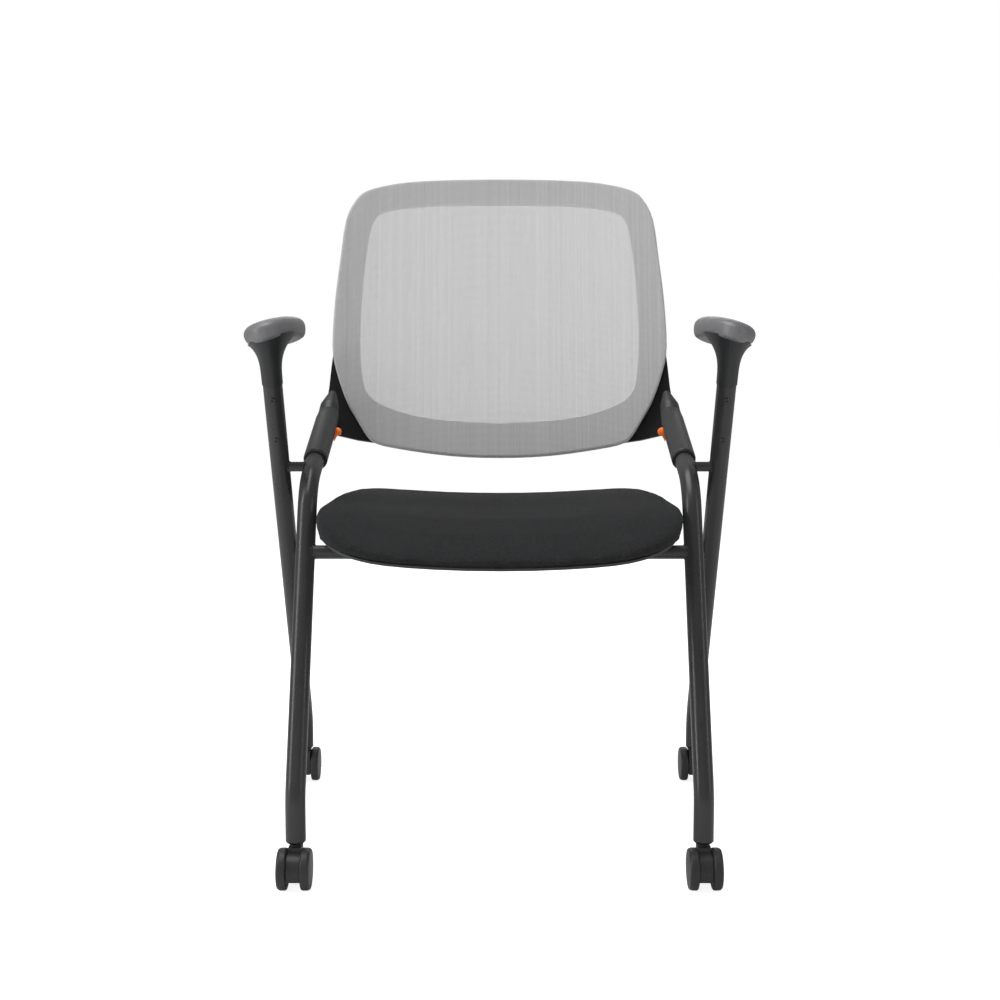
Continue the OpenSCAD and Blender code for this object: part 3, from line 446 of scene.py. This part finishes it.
seat_mesh = bmesh.new()
seat_mesh.from_mesh(seat.data)
smoothed(seat_mesh, SMOOTH_ROUNDS)
seat_mesh.normal_update()
fixed = [v.normal.z < UNDERSIDE for v in seat_mesh.verts]
for vertex, stays in zip(seat_mesh.verts, fixed):
    if not stays:
        vertex.co -= vertex.normal * SEAT_DRAWN_IN
seat_mesh.to_mesh(seat.data)
seat_mesh.free()
blown_up(seat, CLOTH_PRESSURE, SEAT_RISE_CAP, fixed)

# %% [markdown]
# A last few rounds calm the small wrinkles that the cloth leaves. They draw the skin in, so it is let
# out again to the width and depth of the foam and by the cover's own thickness.

# %% Seat: calmed and let out
CALM_ROUNDS = 3
SEAT_FULLER = 0.003

seat_low, seat_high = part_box("seat_cushion")
seat_mesh = bmesh.new()
seat_mesh.from_mesh(seat.data)
smoothed(seat_mesh, CALM_ROUNDS)
spans = [[v.co[i] for v in seat_mesh.verts] for i in (0, 1)]
let_out = [(seat_high[i] - seat_low[i] + 2 * SEAT_FULLER) / (max(spans[i]) - min(spans[i])) for i in (0, 1)]
seat_middle = (seat_low + seat_high) / 2
bmesh.ops.scale(seat_mesh, verts=seat_mesh.verts, vec=let_out + [1.0],
                space=Matrix.Translation(-seat_middle))
seat_mesh.to_mesh(seat.data)
seat_mesh.free()
print("Seat let out by", [round(k, 4) for k in let_out])

# %% [markdown]
# The cover's knit has to follow the cloth over the front fall and the sides, so the seat gets its own
# map. Across the chair it follows X, and along it Y. Where the cover turns down, the drop is added to
# the side it turns towards, so that the rows keep their spacing.

# %% Seat: a map for the knit
# Added to the slope of a face, so that a level one doesn't divide by nothing
SMALLEST_SLOPE = 0.0001


def knit_map(piece, top):
    layer = piece.data.uv_layers.new(name="knit")
    normals = [n.vector for n in piece.data.vertex_normals]
    for loop, place in zip(piece.data.loops, layer.uv):
        point = piece.data.vertices[loop.vertex_index].co
        nx, ny, _ = normals[loop.vertex_index]
        total = abs(nx) + abs(ny) + SMALLEST_SLOPE
        drop = top - point.z
        place.vector = (
            point.x + drop * (1 if point.x > 0 else -1) * abs(nx) / total,
            point.y + drop * (1 if point.y > 0 else -1) * abs(ny) / total)


knit_map(seat, seat_high.z)
subdivide_smoothly(seat)
seat.data.shade_smooth()

# %% [markdown]
# ## The knit of the seat
#
# Close up the cover is a dark polyester knit: rows of tiny round stitches, each row half a stitch on.
# The ground between the stitches is painted darker as shade, and each stitch is painted lighter towards
# its raised middle as light on its crown. Single stitches differ a little in tone, as melange yarn does,
# and the whole cloth has a soft sheen at grazing angles that lifts its edges.

# %% Seat fabric
STITCH_ACROSS = 0.0015
STITCH_ALONG = 0.0013

seat_fabric, tree = new_material("charcoal knit")
flat_place = add(tree, "ShaderNodeUVMap", uv_map="knit").outputs[0]
solid_place = add(tree, "ShaderNodeTexCoord").outputs["Object"]
stitches = use_group(tree, stitch_group, {"Vector": flat_place, "Across": STITCH_ACROSS, "Along": STITCH_ALONG})
raised = spread(tree, stitches["Distance"], 1.05, 0.25)
# The stitch's rise also lightens its colour: painted light on the crowns, painted shade in the ground between
# them
shade = maths(tree, "MULTIPLY_ADD", stitches["Shade"], 0.5, maths(tree, "MULTIPLY", raised, 0.5))
tint = blended(tree, shade, srgb(19, 19, 20), srgb(44, 45, 46))
drifts = add(tree, "ShaderNodeTexNoise", {"Vector": solid_place, "Scale": 9.0, "Detail": 3.0})
tint = blended(tree, spread(tree, drifts.outputs[0], 0.35, 0.7, 0.0, 0.2), tint, srgb(36, 37, 38))
fuzz = add(tree, "ShaderNodeTexNoise", {"Vector": solid_place, "Scale": 2600.0, "Detail": 2.0})
relief = maths(tree, "MULTIPLY_ADD", fuzz.outputs[0], 0.35, raised)
bump = add(tree, "ShaderNodeBump", {"Height": relief, "Distance": 0.0005, "Strength": 0.9})
rough = spread(tree, raised, 0.0, 1.0, 0.95, 0.8)
shader = add(tree, "ShaderNodeBsdfPrincipled",
             {"Base Color": tint, "Roughness": rough, "Normal": bump.outputs[0], "Sheen Weight": 0.12,
              "Sheen Roughness": 0.5, "Sheen Tint": srgb(150, 151, 154), "Specular IOR Level": 0.15})
add(tree, "ShaderNodeOutputMaterial", {"Surface": shader.outputs[0]})
seat.data.materials.append(seat_fabric)

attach(seat, "seat")
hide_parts("seat_cushion")

# %% [markdown]
# ## The armrest pads
#
# Each pad is self-skinned foam: a soft block whose dense outer skin takes the mould's fine leather
# grain. It has no seams. Its lower half is drawn down round the tray, narrower towards the bottom, so
# that the pad's edge runs on into the flare of the support. It is then remeshed to even quads,
# smoothed and subdivided, so that its crown runs into its sides in one curve.

# %% Armrest pads: drawn down round the tray
PAD_ROLL = radians(16.5)
# The lowest points come down by the tuck, and points above the tuck's height stay
PAD_TUCK = 0.0066
PAD_TUCK_HEIGHT = 0.0105
# Shares by which the lowest points move in from the sides and out at the ends
PAD_NARROWER = 0.1
PAD_LONGER = 0.11


def wrapped_down(mesh, roll):
    """Draws the lower half of a pad down round its tray, in the pad's own level frame."""
    level = Matrix.Rotation(-roll, 4, "Y")
    mesh.transform(level)
    low = min(v.co.z for v in mesh.verts)
    middle = [(min(v.co[i] for v in mesh.verts) + max(v.co[i] for v in mesh.verts)) / 2 for i in (0, 1)]
    for vertex in mesh.verts:
        share = max(0.0, 1 - (vertex.co.z - low) / PAD_TUCK_HEIGHT) ** 2
        vertex.co.x -= (vertex.co.x - middle[0]) * PAD_NARROWER * share
        vertex.co.y += (vertex.co.y - middle[1]) * PAD_LONGER * share ** 3
        vertex.co.z -= PAD_TUCK * share
    mesh.transform(level.inverted())

# %% [markdown]
# The same steps make both pads. After the smoothing they are let out by a hair, so that they are as
# full as the solids that they stand for.

# %% Armrest pads: the skin
PAD_VOXEL = 0.0019
PAD_FULLER = 0.0006
PAD_ROUNDS = 14

pad_skin = hard_finish("skin of the armrest pads", srgb(101, 101, 103), 0.42, 0.0012, 0.00012, drift=0.06,
                       rub=0.0, dust=0.03)
pads = []
for side in ("left", "right"):
    mesh = merged_copy("armrest_pad_" + side)
    wrapped_down(mesh, PAD_ROLL if side == "right" else -PAD_ROLL)
    pad = as_object("armrest_pad_skin_" + side, mesh)
    remeshed(pad, PAD_VOXEL)
    mesh = bmesh.new()
    mesh.from_mesh(pad.data)
    smoothed(mesh, PAD_ROUNDS)
    mesh.normal_update()
    for vertex in mesh.verts:
        if vertex.normal.z > UNDERSIDE:
            vertex.co += vertex.normal * PAD_FULLER
    mesh.to_mesh(pad.data)
    mesh.free()
    pad.data.shade_smooth()
    pad.data.materials.append(pad_skin)
    subdivide_smoothly(pad)
    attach(pad, "frame")
    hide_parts("armrest_pad_" + side)
    pads.append(pad)
print("Pads:", [len(p.data.polygons) for p in pads], "faces")

# %% [markdown]
# ## The mesh of the back
#
# The back is one sheet of open weave, stretched over the front of the ring, pulled round its edge and
# tucked in behind. The ring shows through it as a darker border. The sheet starts as the outline of
# the solid that holds its place: the loop of edges round its front is kept and the rest deleted.
# The loop is then extruded inwards, ring by ring, and laid on the back's own curve, and outwards
# round the edge of the ring.

# %% Back: its own plane and curve
BACK_TILT = radians(12.3)
BACK_PLACE = Vector((0, 0.205, 0.491))
BACK_RADIUS = 0.9
BACK_MIDDLE = 0.211
SIDEWAYS = Vector((1, 0, 0))
UPWARDS = Vector((0, sin(BACK_TILT), cos(BACK_TILT)))
BACKWARDS = Vector((0, cos(BACK_TILT), -sin(BACK_TILT)))


def curve_depth(across):
    return sqrt(BACK_RADIUS ** 2 - across ** 2) - BACK_RADIUS


def on_back(across, up, depth):
    return BACK_PLACE + SIDEWAYS * across + UPWARDS * up + BACKWARDS * (curve_depth(across) + depth)


def in_plane(point):
    offset = point - BACK_PLACE
    return offset.dot(SIDEWAYS), offset.dot(UPWARDS)

# %% [markdown]
# The front face of the solid looks forwards, so its normals run against the back's own depth. The
# edges with only one such face beside them are the outline.

# %% Back: the outline of the sheet
FACES_FORWARDS = -0.5

outline = merged_copy("back_mesh")
bmesh.ops.delete(outline, geom=[f for f in outline.faces if f.normal.dot(BACKWARDS) > FACES_FORWARDS],
                 context="FACES")
rim = {e for e in outline.edges if len(e.link_faces) == 1}
bmesh.ops.delete(outline, geom=list(outline.faces), context="FACES_ONLY")
bmesh.ops.delete(outline, geom=[e for e in outline.edges if e not in rim], context="EDGES")
bmesh.ops.delete(outline, geom=[v for v in outline.verts if not v.link_edges], context="VERTS")
print("Outline of the back:", len(outline.edges), "edges")

# %% [markdown]
# Each new ring is the last one, extruded and laid on the back's curve at another share of the
# outline. Every point also keeps its place in the flat cloth, which the weave is mapped by. Where the
# cloth rolls round the edge, that place runs on by the length of the step.

# %% Back: rings of the sheet
SHEET_DEPTH = -0.0009
# Shares of the outline that the rings are drawn in to, from the rim to the middle
INNER_SHARES = [0.985, 0.97, 0.94, 0.9, 0.86, 0.81, 0.76, 0.7, 0.63, 0.56, 0.48, 0.4, 0.32, 0.24, 0.16, 0.08]
# Roll over the edge of the ring: share of the outline and depth behind the sheet's curve
ROLL = [(0.9915, -0.0008), (0.9965, 0.0004), (0.9993, 0.0024), (1.0, 0.0055), (1.0, 0.009), (0.999, 0.0125),
        (0.996, 0.0149), (0.99, 0.0156), (0.982, 0.0154), (0.974, 0.0152)]

places = outline.verts.layers.float_vector.new("weave place")
for vertex in outline.verts:
    vertex[places] = (*in_plane(vertex.co), 0.0)


def next_ring(mesh, loop, ratio, depth, run):
    """Extrudes a loop of the sheet to a ring that is nearer to or further from the back's middle."""
    made = bmesh.ops.extrude_edge_only(mesh, edges=loop)["geom"]
    for vertex in (g for g in made if isinstance(g, bmesh.types.BMVert)):
        across, up = in_plane(vertex.co)
        across, up = across * ratio, BACK_MIDDLE + (up - BACK_MIDDLE) * ratio
        vertex.co = on_back(across, up, depth)
        outwards = Vector((across, up - BACK_MIDDLE, 0)).normalized()
        if run is None:
            vertex[places] = (across, up, 0.0)
        else:
            vertex[places] = vertex[places] + outwards * run
    return [g for g in made if isinstance(g, bmesh.types.BMEdge)]


FIRST_SHARE, FIRST_DEPTH = ROLL[0]
for vertex in outline.verts:
    across, up = in_plane(vertex.co)
    vertex.co = on_back(across * FIRST_SHARE, BACK_MIDDLE + (up - BACK_MIDDLE) * FIRST_SHARE, FIRST_DEPTH)
    vertex[places] = (*in_plane(vertex.co), 0.0)
first_loop = list(outline.edges)

loop, share = first_loop, FIRST_SHARE
for inner in INNER_SHARES:
    loop = next_ring(outline, loop, inner / share, SHEET_DEPTH, None)
    share = inner
bmesh.ops.contextual_create(outline, geom=loop)

loop, share, depth = first_loop, FIRST_SHARE, FIRST_DEPTH
for roll_share, roll_depth in ROLL[1:]:
    run = sqrt(((roll_share - share) * BACK_MIDDLE) ** 2 + (roll_depth - depth) ** 2)
    loop = next_ring(outline, loop, roll_share / share, roll_depth, run)
    share, depth = roll_share, roll_depth
bmesh.ops.recalc_face_normals(outline, faces=outline.faces)
bmesh.ops.triangulate(outline, faces=[f for f in outline.faces if len(f.verts) > 4])

# %% [markdown]
# The kept places become the map of the weave, and the single layer of faces gets the thickness of the
# cloth.

# %% Back: a map for the weave, then the cloth's thickness
SHEET_THICKNESS = 0.0005

weave = outline.loops.layers.uv.new("weave")
for face in outline.faces:
    for corner in face.loops:
        corner[weave].uv = corner.vert[places][:2]
sheet_area = sum(f.calc_area() for f in outline.faces)
mesh_sheet = as_object("back_mesh_sheet", outline)
thicken = mesh_sheet.modifiers.new("cloth", "SOLIDIFY")
thicken.thickness = SHEET_THICKNESS
thicken.offset = 0
print("Area of the sheet:", round(sheet_area, 4), "square metres")

# %% [markdown]
# ## The weave of the back
#
# The mesh is knitted from pale grey yarn. Each row of small holes sits half a hole on from the last,
# and the yarns run up the back in fine lines that are a little lighter or darker than their
# neighbours. About a fifth of the cloth is open, so the wall behind shows through it, and so does the
# ring. The holes are cut by the alpha, because thousands of real holes would be far too many faces.

# %% Mesh fabric
HOLE_ACROSS = 0.0015
HOLE_ALONG = 0.0017
# The streaks of the yarns are fine across the back and long up it
STREAK_SCALE = (520.0, 16.0, 1.0)

mesh_fabric, tree = new_material("pale grey mesh")
flat_place = add(tree, "ShaderNodeUVMap", uv_map="weave").outputs[0]
cells = use_group(tree, stitch_group, {"Vector": flat_place, "Across": HOLE_ACROSS, "Along": HOLE_ALONG})
yarn = spread(tree, cells["Distance"], 0.47, 0.6)
axes = add(tree, "ShaderNodeSeparateXYZ", {0: flat_place}).outputs
yarn_number = maths(tree, "FLOOR", maths(tree, "DIVIDE", axes["X"], HOLE_ACROSS / 2))
yarn_shade = add(tree, "ShaderNodeTexWhiteNoise", {"W": yarn_number}, noise_dimensions="1D").outputs["Value"]
stretch = add(tree, "ShaderNodeMapping", {"Vector": flat_place, "Scale": STREAK_SCALE}).outputs[0]
streaks = add(tree, "ShaderNodeTexNoise", {"Vector": stretch, "Scale": 1.0, "Detail": 2.0}).outputs[0]
shade = maths(tree, "MULTIPLY_ADD", yarn_shade, 0.5, maths(tree, "MULTIPLY", streaks, 0.5))
tint = blended(tree, shade, srgb(167, 167, 168), srgb(193, 193, 194))
# Yarn next to each hole is painted darker, up to halfway to a deeper grey at the rim, as shade where it turns
# into the hole
tint = blended(tree, spread(tree, cells["Distance"], 0.5, 0.75, 0.5, 1.0), srgb(155, 155, 156), tint)
relief = maths(tree, "SUBTRACT", 1.0, maths(tree, "ABSOLUTE", cells["Across share"]))
bump = add(tree, "ShaderNodeBump", {"Height": relief, "Distance": 0.0004, "Strength": 0.6})
shader = add(tree, "ShaderNodeBsdfPrincipled",
             {"Base Color": tint, "Alpha": yarn, "Roughness": 0.62, "Normal": bump.outputs[0],
              "Sheen Weight": 0.1, "Specular IOR Level": 0.3})
add(tree, "ShaderNodeOutputMaterial", {"Surface": shader.outputs[0]})
mesh_sheet.data.materials.append(mesh_fabric)

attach(mesh_sheet, "back")
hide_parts("back_mesh")

# %% [markdown]
# ## Screws
#
# The screws of the armrests, the back and the seat clips are small, but each has a socket that the
# eye looks for. Every screw of the solids is measured: its axis is the long way through its points,
# and its head is the end where they lie furthest out. A new one is then made in its place from one
# loop of edges, shaped as a hexagon in the socket and round outside, and extruded over the head and
# down the shank.

# %% Screws
SCREW_EDGES = 36
# Points beyond this share of the largest radius belong to the rim of the head
RIM_SHARE = 0.9
AXIS_ROUNDS = 12
# The shank's end is looked for this near to the tip, and no nearer than this to the axis
NEAR = 0.0005
SOCKET_SHARE = 0.5
SOCKET_DEPTH_SHARE = 0.8
HEAD_ROUND_SHARE = 0.25


def islands(mesh):
    """The separate shells of a mesh, each as a list of its vertices in their order in the mesh."""
    mesh.verts.index_update()
    seen = set()
    for first in mesh.verts:
        if first in seen:
            continue
        shell, front = set(), {first}
        while front:
            shell |= front
            front = {e.other_vert(v) for v in front for e in v.link_edges} - shell
        seen |= shell
        yield sorted(shell, key=lambda v: v.index)


def edges_of(verts):
    """The edges of some vertices, each one once and always in the same order."""
    return list(dict.fromkeys(e for v in verts for e in v.link_edges))


def screw_places(name):
    """For each screw of a part: the middle of its head's top, its direction into the part and its sizes."""
    mesh = merged_copy(name)
    found = []
    for shell in islands(mesh):
        middle = sum((v.co for v in shell), Vector()) / len(shell)
        rays = [v.co - middle for v in shell]
        axis = max(((a - b) for a in rays for b in rays), key=lambda d: d.length).normalized()
        for _ in range(AXIS_ROUNDS):
            # The rims pull the axis straight: the mean direction of all steps along it
            axis = sum((r * (1 if r.dot(axis) > 0 else -1) for r in rays), Vector()).normalized()
        along = [r.dot(axis) for r in rays]
        radius = [(r - axis * s).length for r, s in zip(rays, along)]
        head = max(radius)
        mean_at = sum(s for s, r in zip(along, radius) if r > head * RIM_SHARE)
        if mean_at > 0:
            axis, along = -axis, [-s for s in along]
        top, tip = min(along), max(along)
        shank = min(r for s, r in zip(along, radius) if s > tip - NEAR and r > NEAR)
        under = max(s for s, r in zip(along, radius) if r > head * RIM_SHARE)
        found.append((middle + axis * top, axis.copy(), head, shank, under - top, tip - top))
    mesh.free()
    return found


def hexagon_radius(angle, radius):
    """How far the side of a hexagon lies from its middle in one direction, with its corners at a radius."""
    return radius * cos(pi / 6) / cos(angle % (pi / 3) - pi / 6)


def place_ring(verts, radius, depth, six_sided):
    for vertex in verts:
        angle = atan2(vertex.co.y, vertex.co.x)
        out = hexagon_radius(angle, radius) if six_sided else radius
        vertex.co = (out * cos(angle), out * sin(angle), -depth)


def socket_screw(mesh, top, axis, head, shank, head_depth, length):
    """A screw whose head's top is at a place and whose axis points into the part."""
    socket, floor = head * SOCKET_SHARE, head_depth * SOCKET_DEPTH_SHARE
    crown = head_depth * HEAD_ROUND_SHARE
    rings = [(socket, 0.0, True), (head - crown, 0.0, False), (head, crown, False), (head, head_depth, False),
             (shank, head_depth, False), (shank, length, False)]
    start = bmesh.ops.create_circle(mesh, cap_ends=True, radius=socket, segments=SCREW_EDGES)["verts"]
    place_ring(start, socket, floor, True)
    made = list(start)
    loop = edges_of(start)
    for radius, depth, six_sided in rings:
        grown = bmesh.ops.extrude_edge_only(mesh, edges=loop)["geom"]
        ring = [g for g in grown if isinstance(g, bmesh.types.BMVert)]
        place_ring(ring, radius, depth, six_sided)
        made += ring
        loop = [g for g in grown if isinstance(g, bmesh.types.BMEdge)]
    bmesh.ops.contextual_create(mesh, geom=loop)
    turn = axis.to_track_quat("-Z", "Y").to_matrix().to_4x4()
    bmesh.ops.transform(mesh, matrix=Matrix.Translation(top) @ turn, verts=made)


screw_steel = hard["fastener_steel"]
for name, body in (("armrest_screws", "frame"), ("wing_screws", "back"), ("clip_screws", "seat")):
    mesh = bmesh.new()
    measured = screw_places(name)
    for screw in measured:
        socket_screw(mesh, *screw)
    bmesh.ops.recalc_face_normals(mesh, faces=mesh.faces)
    piece = as_object("socket_" + name, mesh, screw_steel)
    piece.data.shade_flat()
    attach(piece, body)
    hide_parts(name)
    print(name, "-", len(measured), "screws, head", round(2000 * measured[0][2], 1), "mm across")

# %% [markdown]
# ## Weld beads
#
# The rails and the short spacer bars are welded to the legs. A weld leaves a rippled bead where the
# bar's end runs into the tube's flank. The bead starts as a small circle that is spun round the bar
# into a ring, and each of its points is then slid along the bar until it lies on the round tube. A
# fine wave along the ring makes the ripples of the welder's torch.

# %% Weld beads
BEAD = 0.0011
BEAD_EDGES = 8
BEAD_STEPS = 72
RIPPLES = 24
RIPPLE = 0.00018
TUBE_RADIUS = 0.01225
FRONT_RAIL_RADIUS = 0.0085
PIVOT_RAIL_RADIUS = 0.0095
SPACER_RADIUS = 0.0065
FRONT_LEG_X = 0.245
REAR_STEM_X = 0.292
REAR_BEND_Z = 0.0997
REAR_LEAN = radians(30.3)
REAR_TOE = radians(1.31)
FRONT_LEAN = radians(22.2)
ARM_RISE = radians(20)


def rear_leg_x(height):
    return REAR_STEM_X - (height - REAR_BEND_Z) * tan(REAR_LEAN) * sin(REAR_TOE)


def weld_bead(mesh, bar, bar_radius, tube_x, tube_lean, towards):
    """A bead round a bar along X at (y, z), on the flank of a tube that leans from upright by an angle."""
    circle = bmesh.ops.create_circle(mesh, radius=BEAD, segments=BEAD_EDGES)["verts"]
    bmesh.ops.translate(mesh, verts=circle, vec=(0, bar_radius, 0))
    before = set(mesh.verts) - set(circle)
    bmesh.ops.spin(mesh, geom=circle + edges_of(circle), cent=(0, 0, 0), axis=(1, 0, 0), angle=2 * pi,
                   steps=BEAD_STEPS, use_merge=True)
    for vertex in set(mesh.verts) - before:
        x, y, z = vertex.co
        angle = atan2(z, y)
        swell = 1 + RIPPLE / BEAD * sin(RIPPLES * angle)
        out = bar_radius + (sqrt(y * y + z * z) - bar_radius) * swell
        y, z = out * cos(angle), out * sin(angle)
        across_tube = y * cos(tube_lean) - z * sin(tube_lean)
        flank = sqrt(TUBE_RADIUS ** 2 - across_tube ** 2)
        vertex.co = (tube_x + towards * flank + x * swell, bar[0] + y, bar[1] + z)


mesh = bmesh.new()
beads = 0
for name, radius, ends in (
    ("front_rail", FRONT_RAIL_RADIUS, lambda z: [(FRONT_LEG_X, FRONT_LEAN, -1)]),
    ("pivot_rail", PIVOT_RAIL_RADIUS, lambda z: [(rear_leg_x(z), -REAR_LEAN, -1)]),
    ("spacer_left", SPACER_RADIUS,
     lambda z: [(FRONT_LEG_X, pi / 2 - ARM_RISE, 1), (rear_leg_x(z), -REAR_LEAN, -1)]),
):
    low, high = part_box(name)
    bar = ((low.y + high.y) / 2, (low.z + high.z) / 2)
    for tube_x, tube_lean, towards in ends(bar[1]):
        for side in (-1, 1):
            weld_bead(mesh, bar, radius, side * tube_x, tube_lean, side * towards)
            beads += 1
bmesh.ops.recalc_face_normals(mesh, faces=mesh.faces)
welds = as_object("weld_beads", mesh, hard["tube_paint"])
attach(welds, "frame")
print("Weld beads:", beads)

# %% [markdown]
# ## Floor, backdrop and light
#
# The picture has a plain white studio. The floor is pale and catches the chair's soft shadow. Towards
# the camera only, the floor and the world are lifted to white, so the chair itself gets no more light
# than a studio would give it.

# %% Floor and world
FLOOR_HALF = 9.0
FLOOR_TONE = (0.82, 0.82, 0.82, 1.0)
FLOOR_LIFT = 0.77
WORLD_LIGHT = 0.3
WHITE = (1.0, 1.0, 1.0, 1.0)

floor_finish, tree = new_material("studio floor")
camera_ray = add(tree, "ShaderNodeLightPath").outputs["Is Camera Ray"]
lift = maths(tree, "MULTIPLY", camera_ray, FLOOR_LIFT)
shader = add(tree, "ShaderNodeBsdfPrincipled",
             {"Base Color": FLOOR_TONE, "Roughness": 0.9, "Emission Color": WHITE,
              "Emission Strength": lift, "Specular IOR Level": 0.2})
add(tree, "ShaderNodeOutputMaterial", {"Surface": shader.outputs[0]})
mesh = bmesh.new()
bmesh.ops.create_grid(mesh, x_segments=1, y_segments=1, size=FLOOR_HALF)
floor = as_object("floor", mesh, floor_finish)

world = bpy.data.worlds.new("studio")
scene.world = world
world.use_nodes = True
tree = world.node_tree
tree.nodes.clear()
camera_ray = add(tree, "ShaderNodeLightPath").outputs["Is Camera Ray"]
strength = maths(tree, "MULTIPLY_ADD", camera_ray, 1.0 - WORLD_LIGHT, WORLD_LIGHT)
glow = add(tree, "ShaderNodeBackground", {"Color": WHITE, "Strength": strength})
add(tree, "ShaderNodeOutputWorld", {"Surface": glow.outputs[0]})

# %% [markdown]
# Two tall soft boxes stand at the sides, the left one stronger, and draw the bright lines along the
# dark tubes. One hangs above for the tops of the armrests and a weak one behind lights the edges. The
# front box only fills in: it is hidden from mirrored rays, because the picture shows no reflection
# in the middle of the tubes.

# %% Lamps
AIM = Vector((0, 0, 0.5))
# Name, place, width and height, power in watts, and whether smooth surfaces mirror it
SOFT_BOXES = [
    ("front box", (-0.4, -3.2, 1.35), (2.6, 0.9), 42, False),
    ("left box", (-2.3, -0.8, 1.4), (0.35, 2.4), 30, True),
    ("right box", (2.5, -0.9, 1.2), (0.3, 2.2), 9, True),
    ("top box", (-0.5, 0.0, 2.9), (2.0, 1.6), 46, True),
    ("back box", (0, 2.7, 1.6), (2.2, 1.0), 12, True),
]


def soft_box(name, place, size, power, mirrored):
    lamp = bpy.data.lights.new(name, "AREA")
    lamp.shape = "RECTANGLE"
    lamp.size, lamp.size_y = size
    lamp.energy = power
    made = bpy.data.objects.new(name, lamp)
    made.location = place
    made.rotation_euler = (AIM - Vector(place)).to_track_quat("-Z", "Y").to_euler()
    made.visible_glossy = mirrored
    scene.collection.objects.link(made)


for box in SOFT_BOXES:
    soft_box(*box)
print("Lamps:", len(SOFT_BOXES))
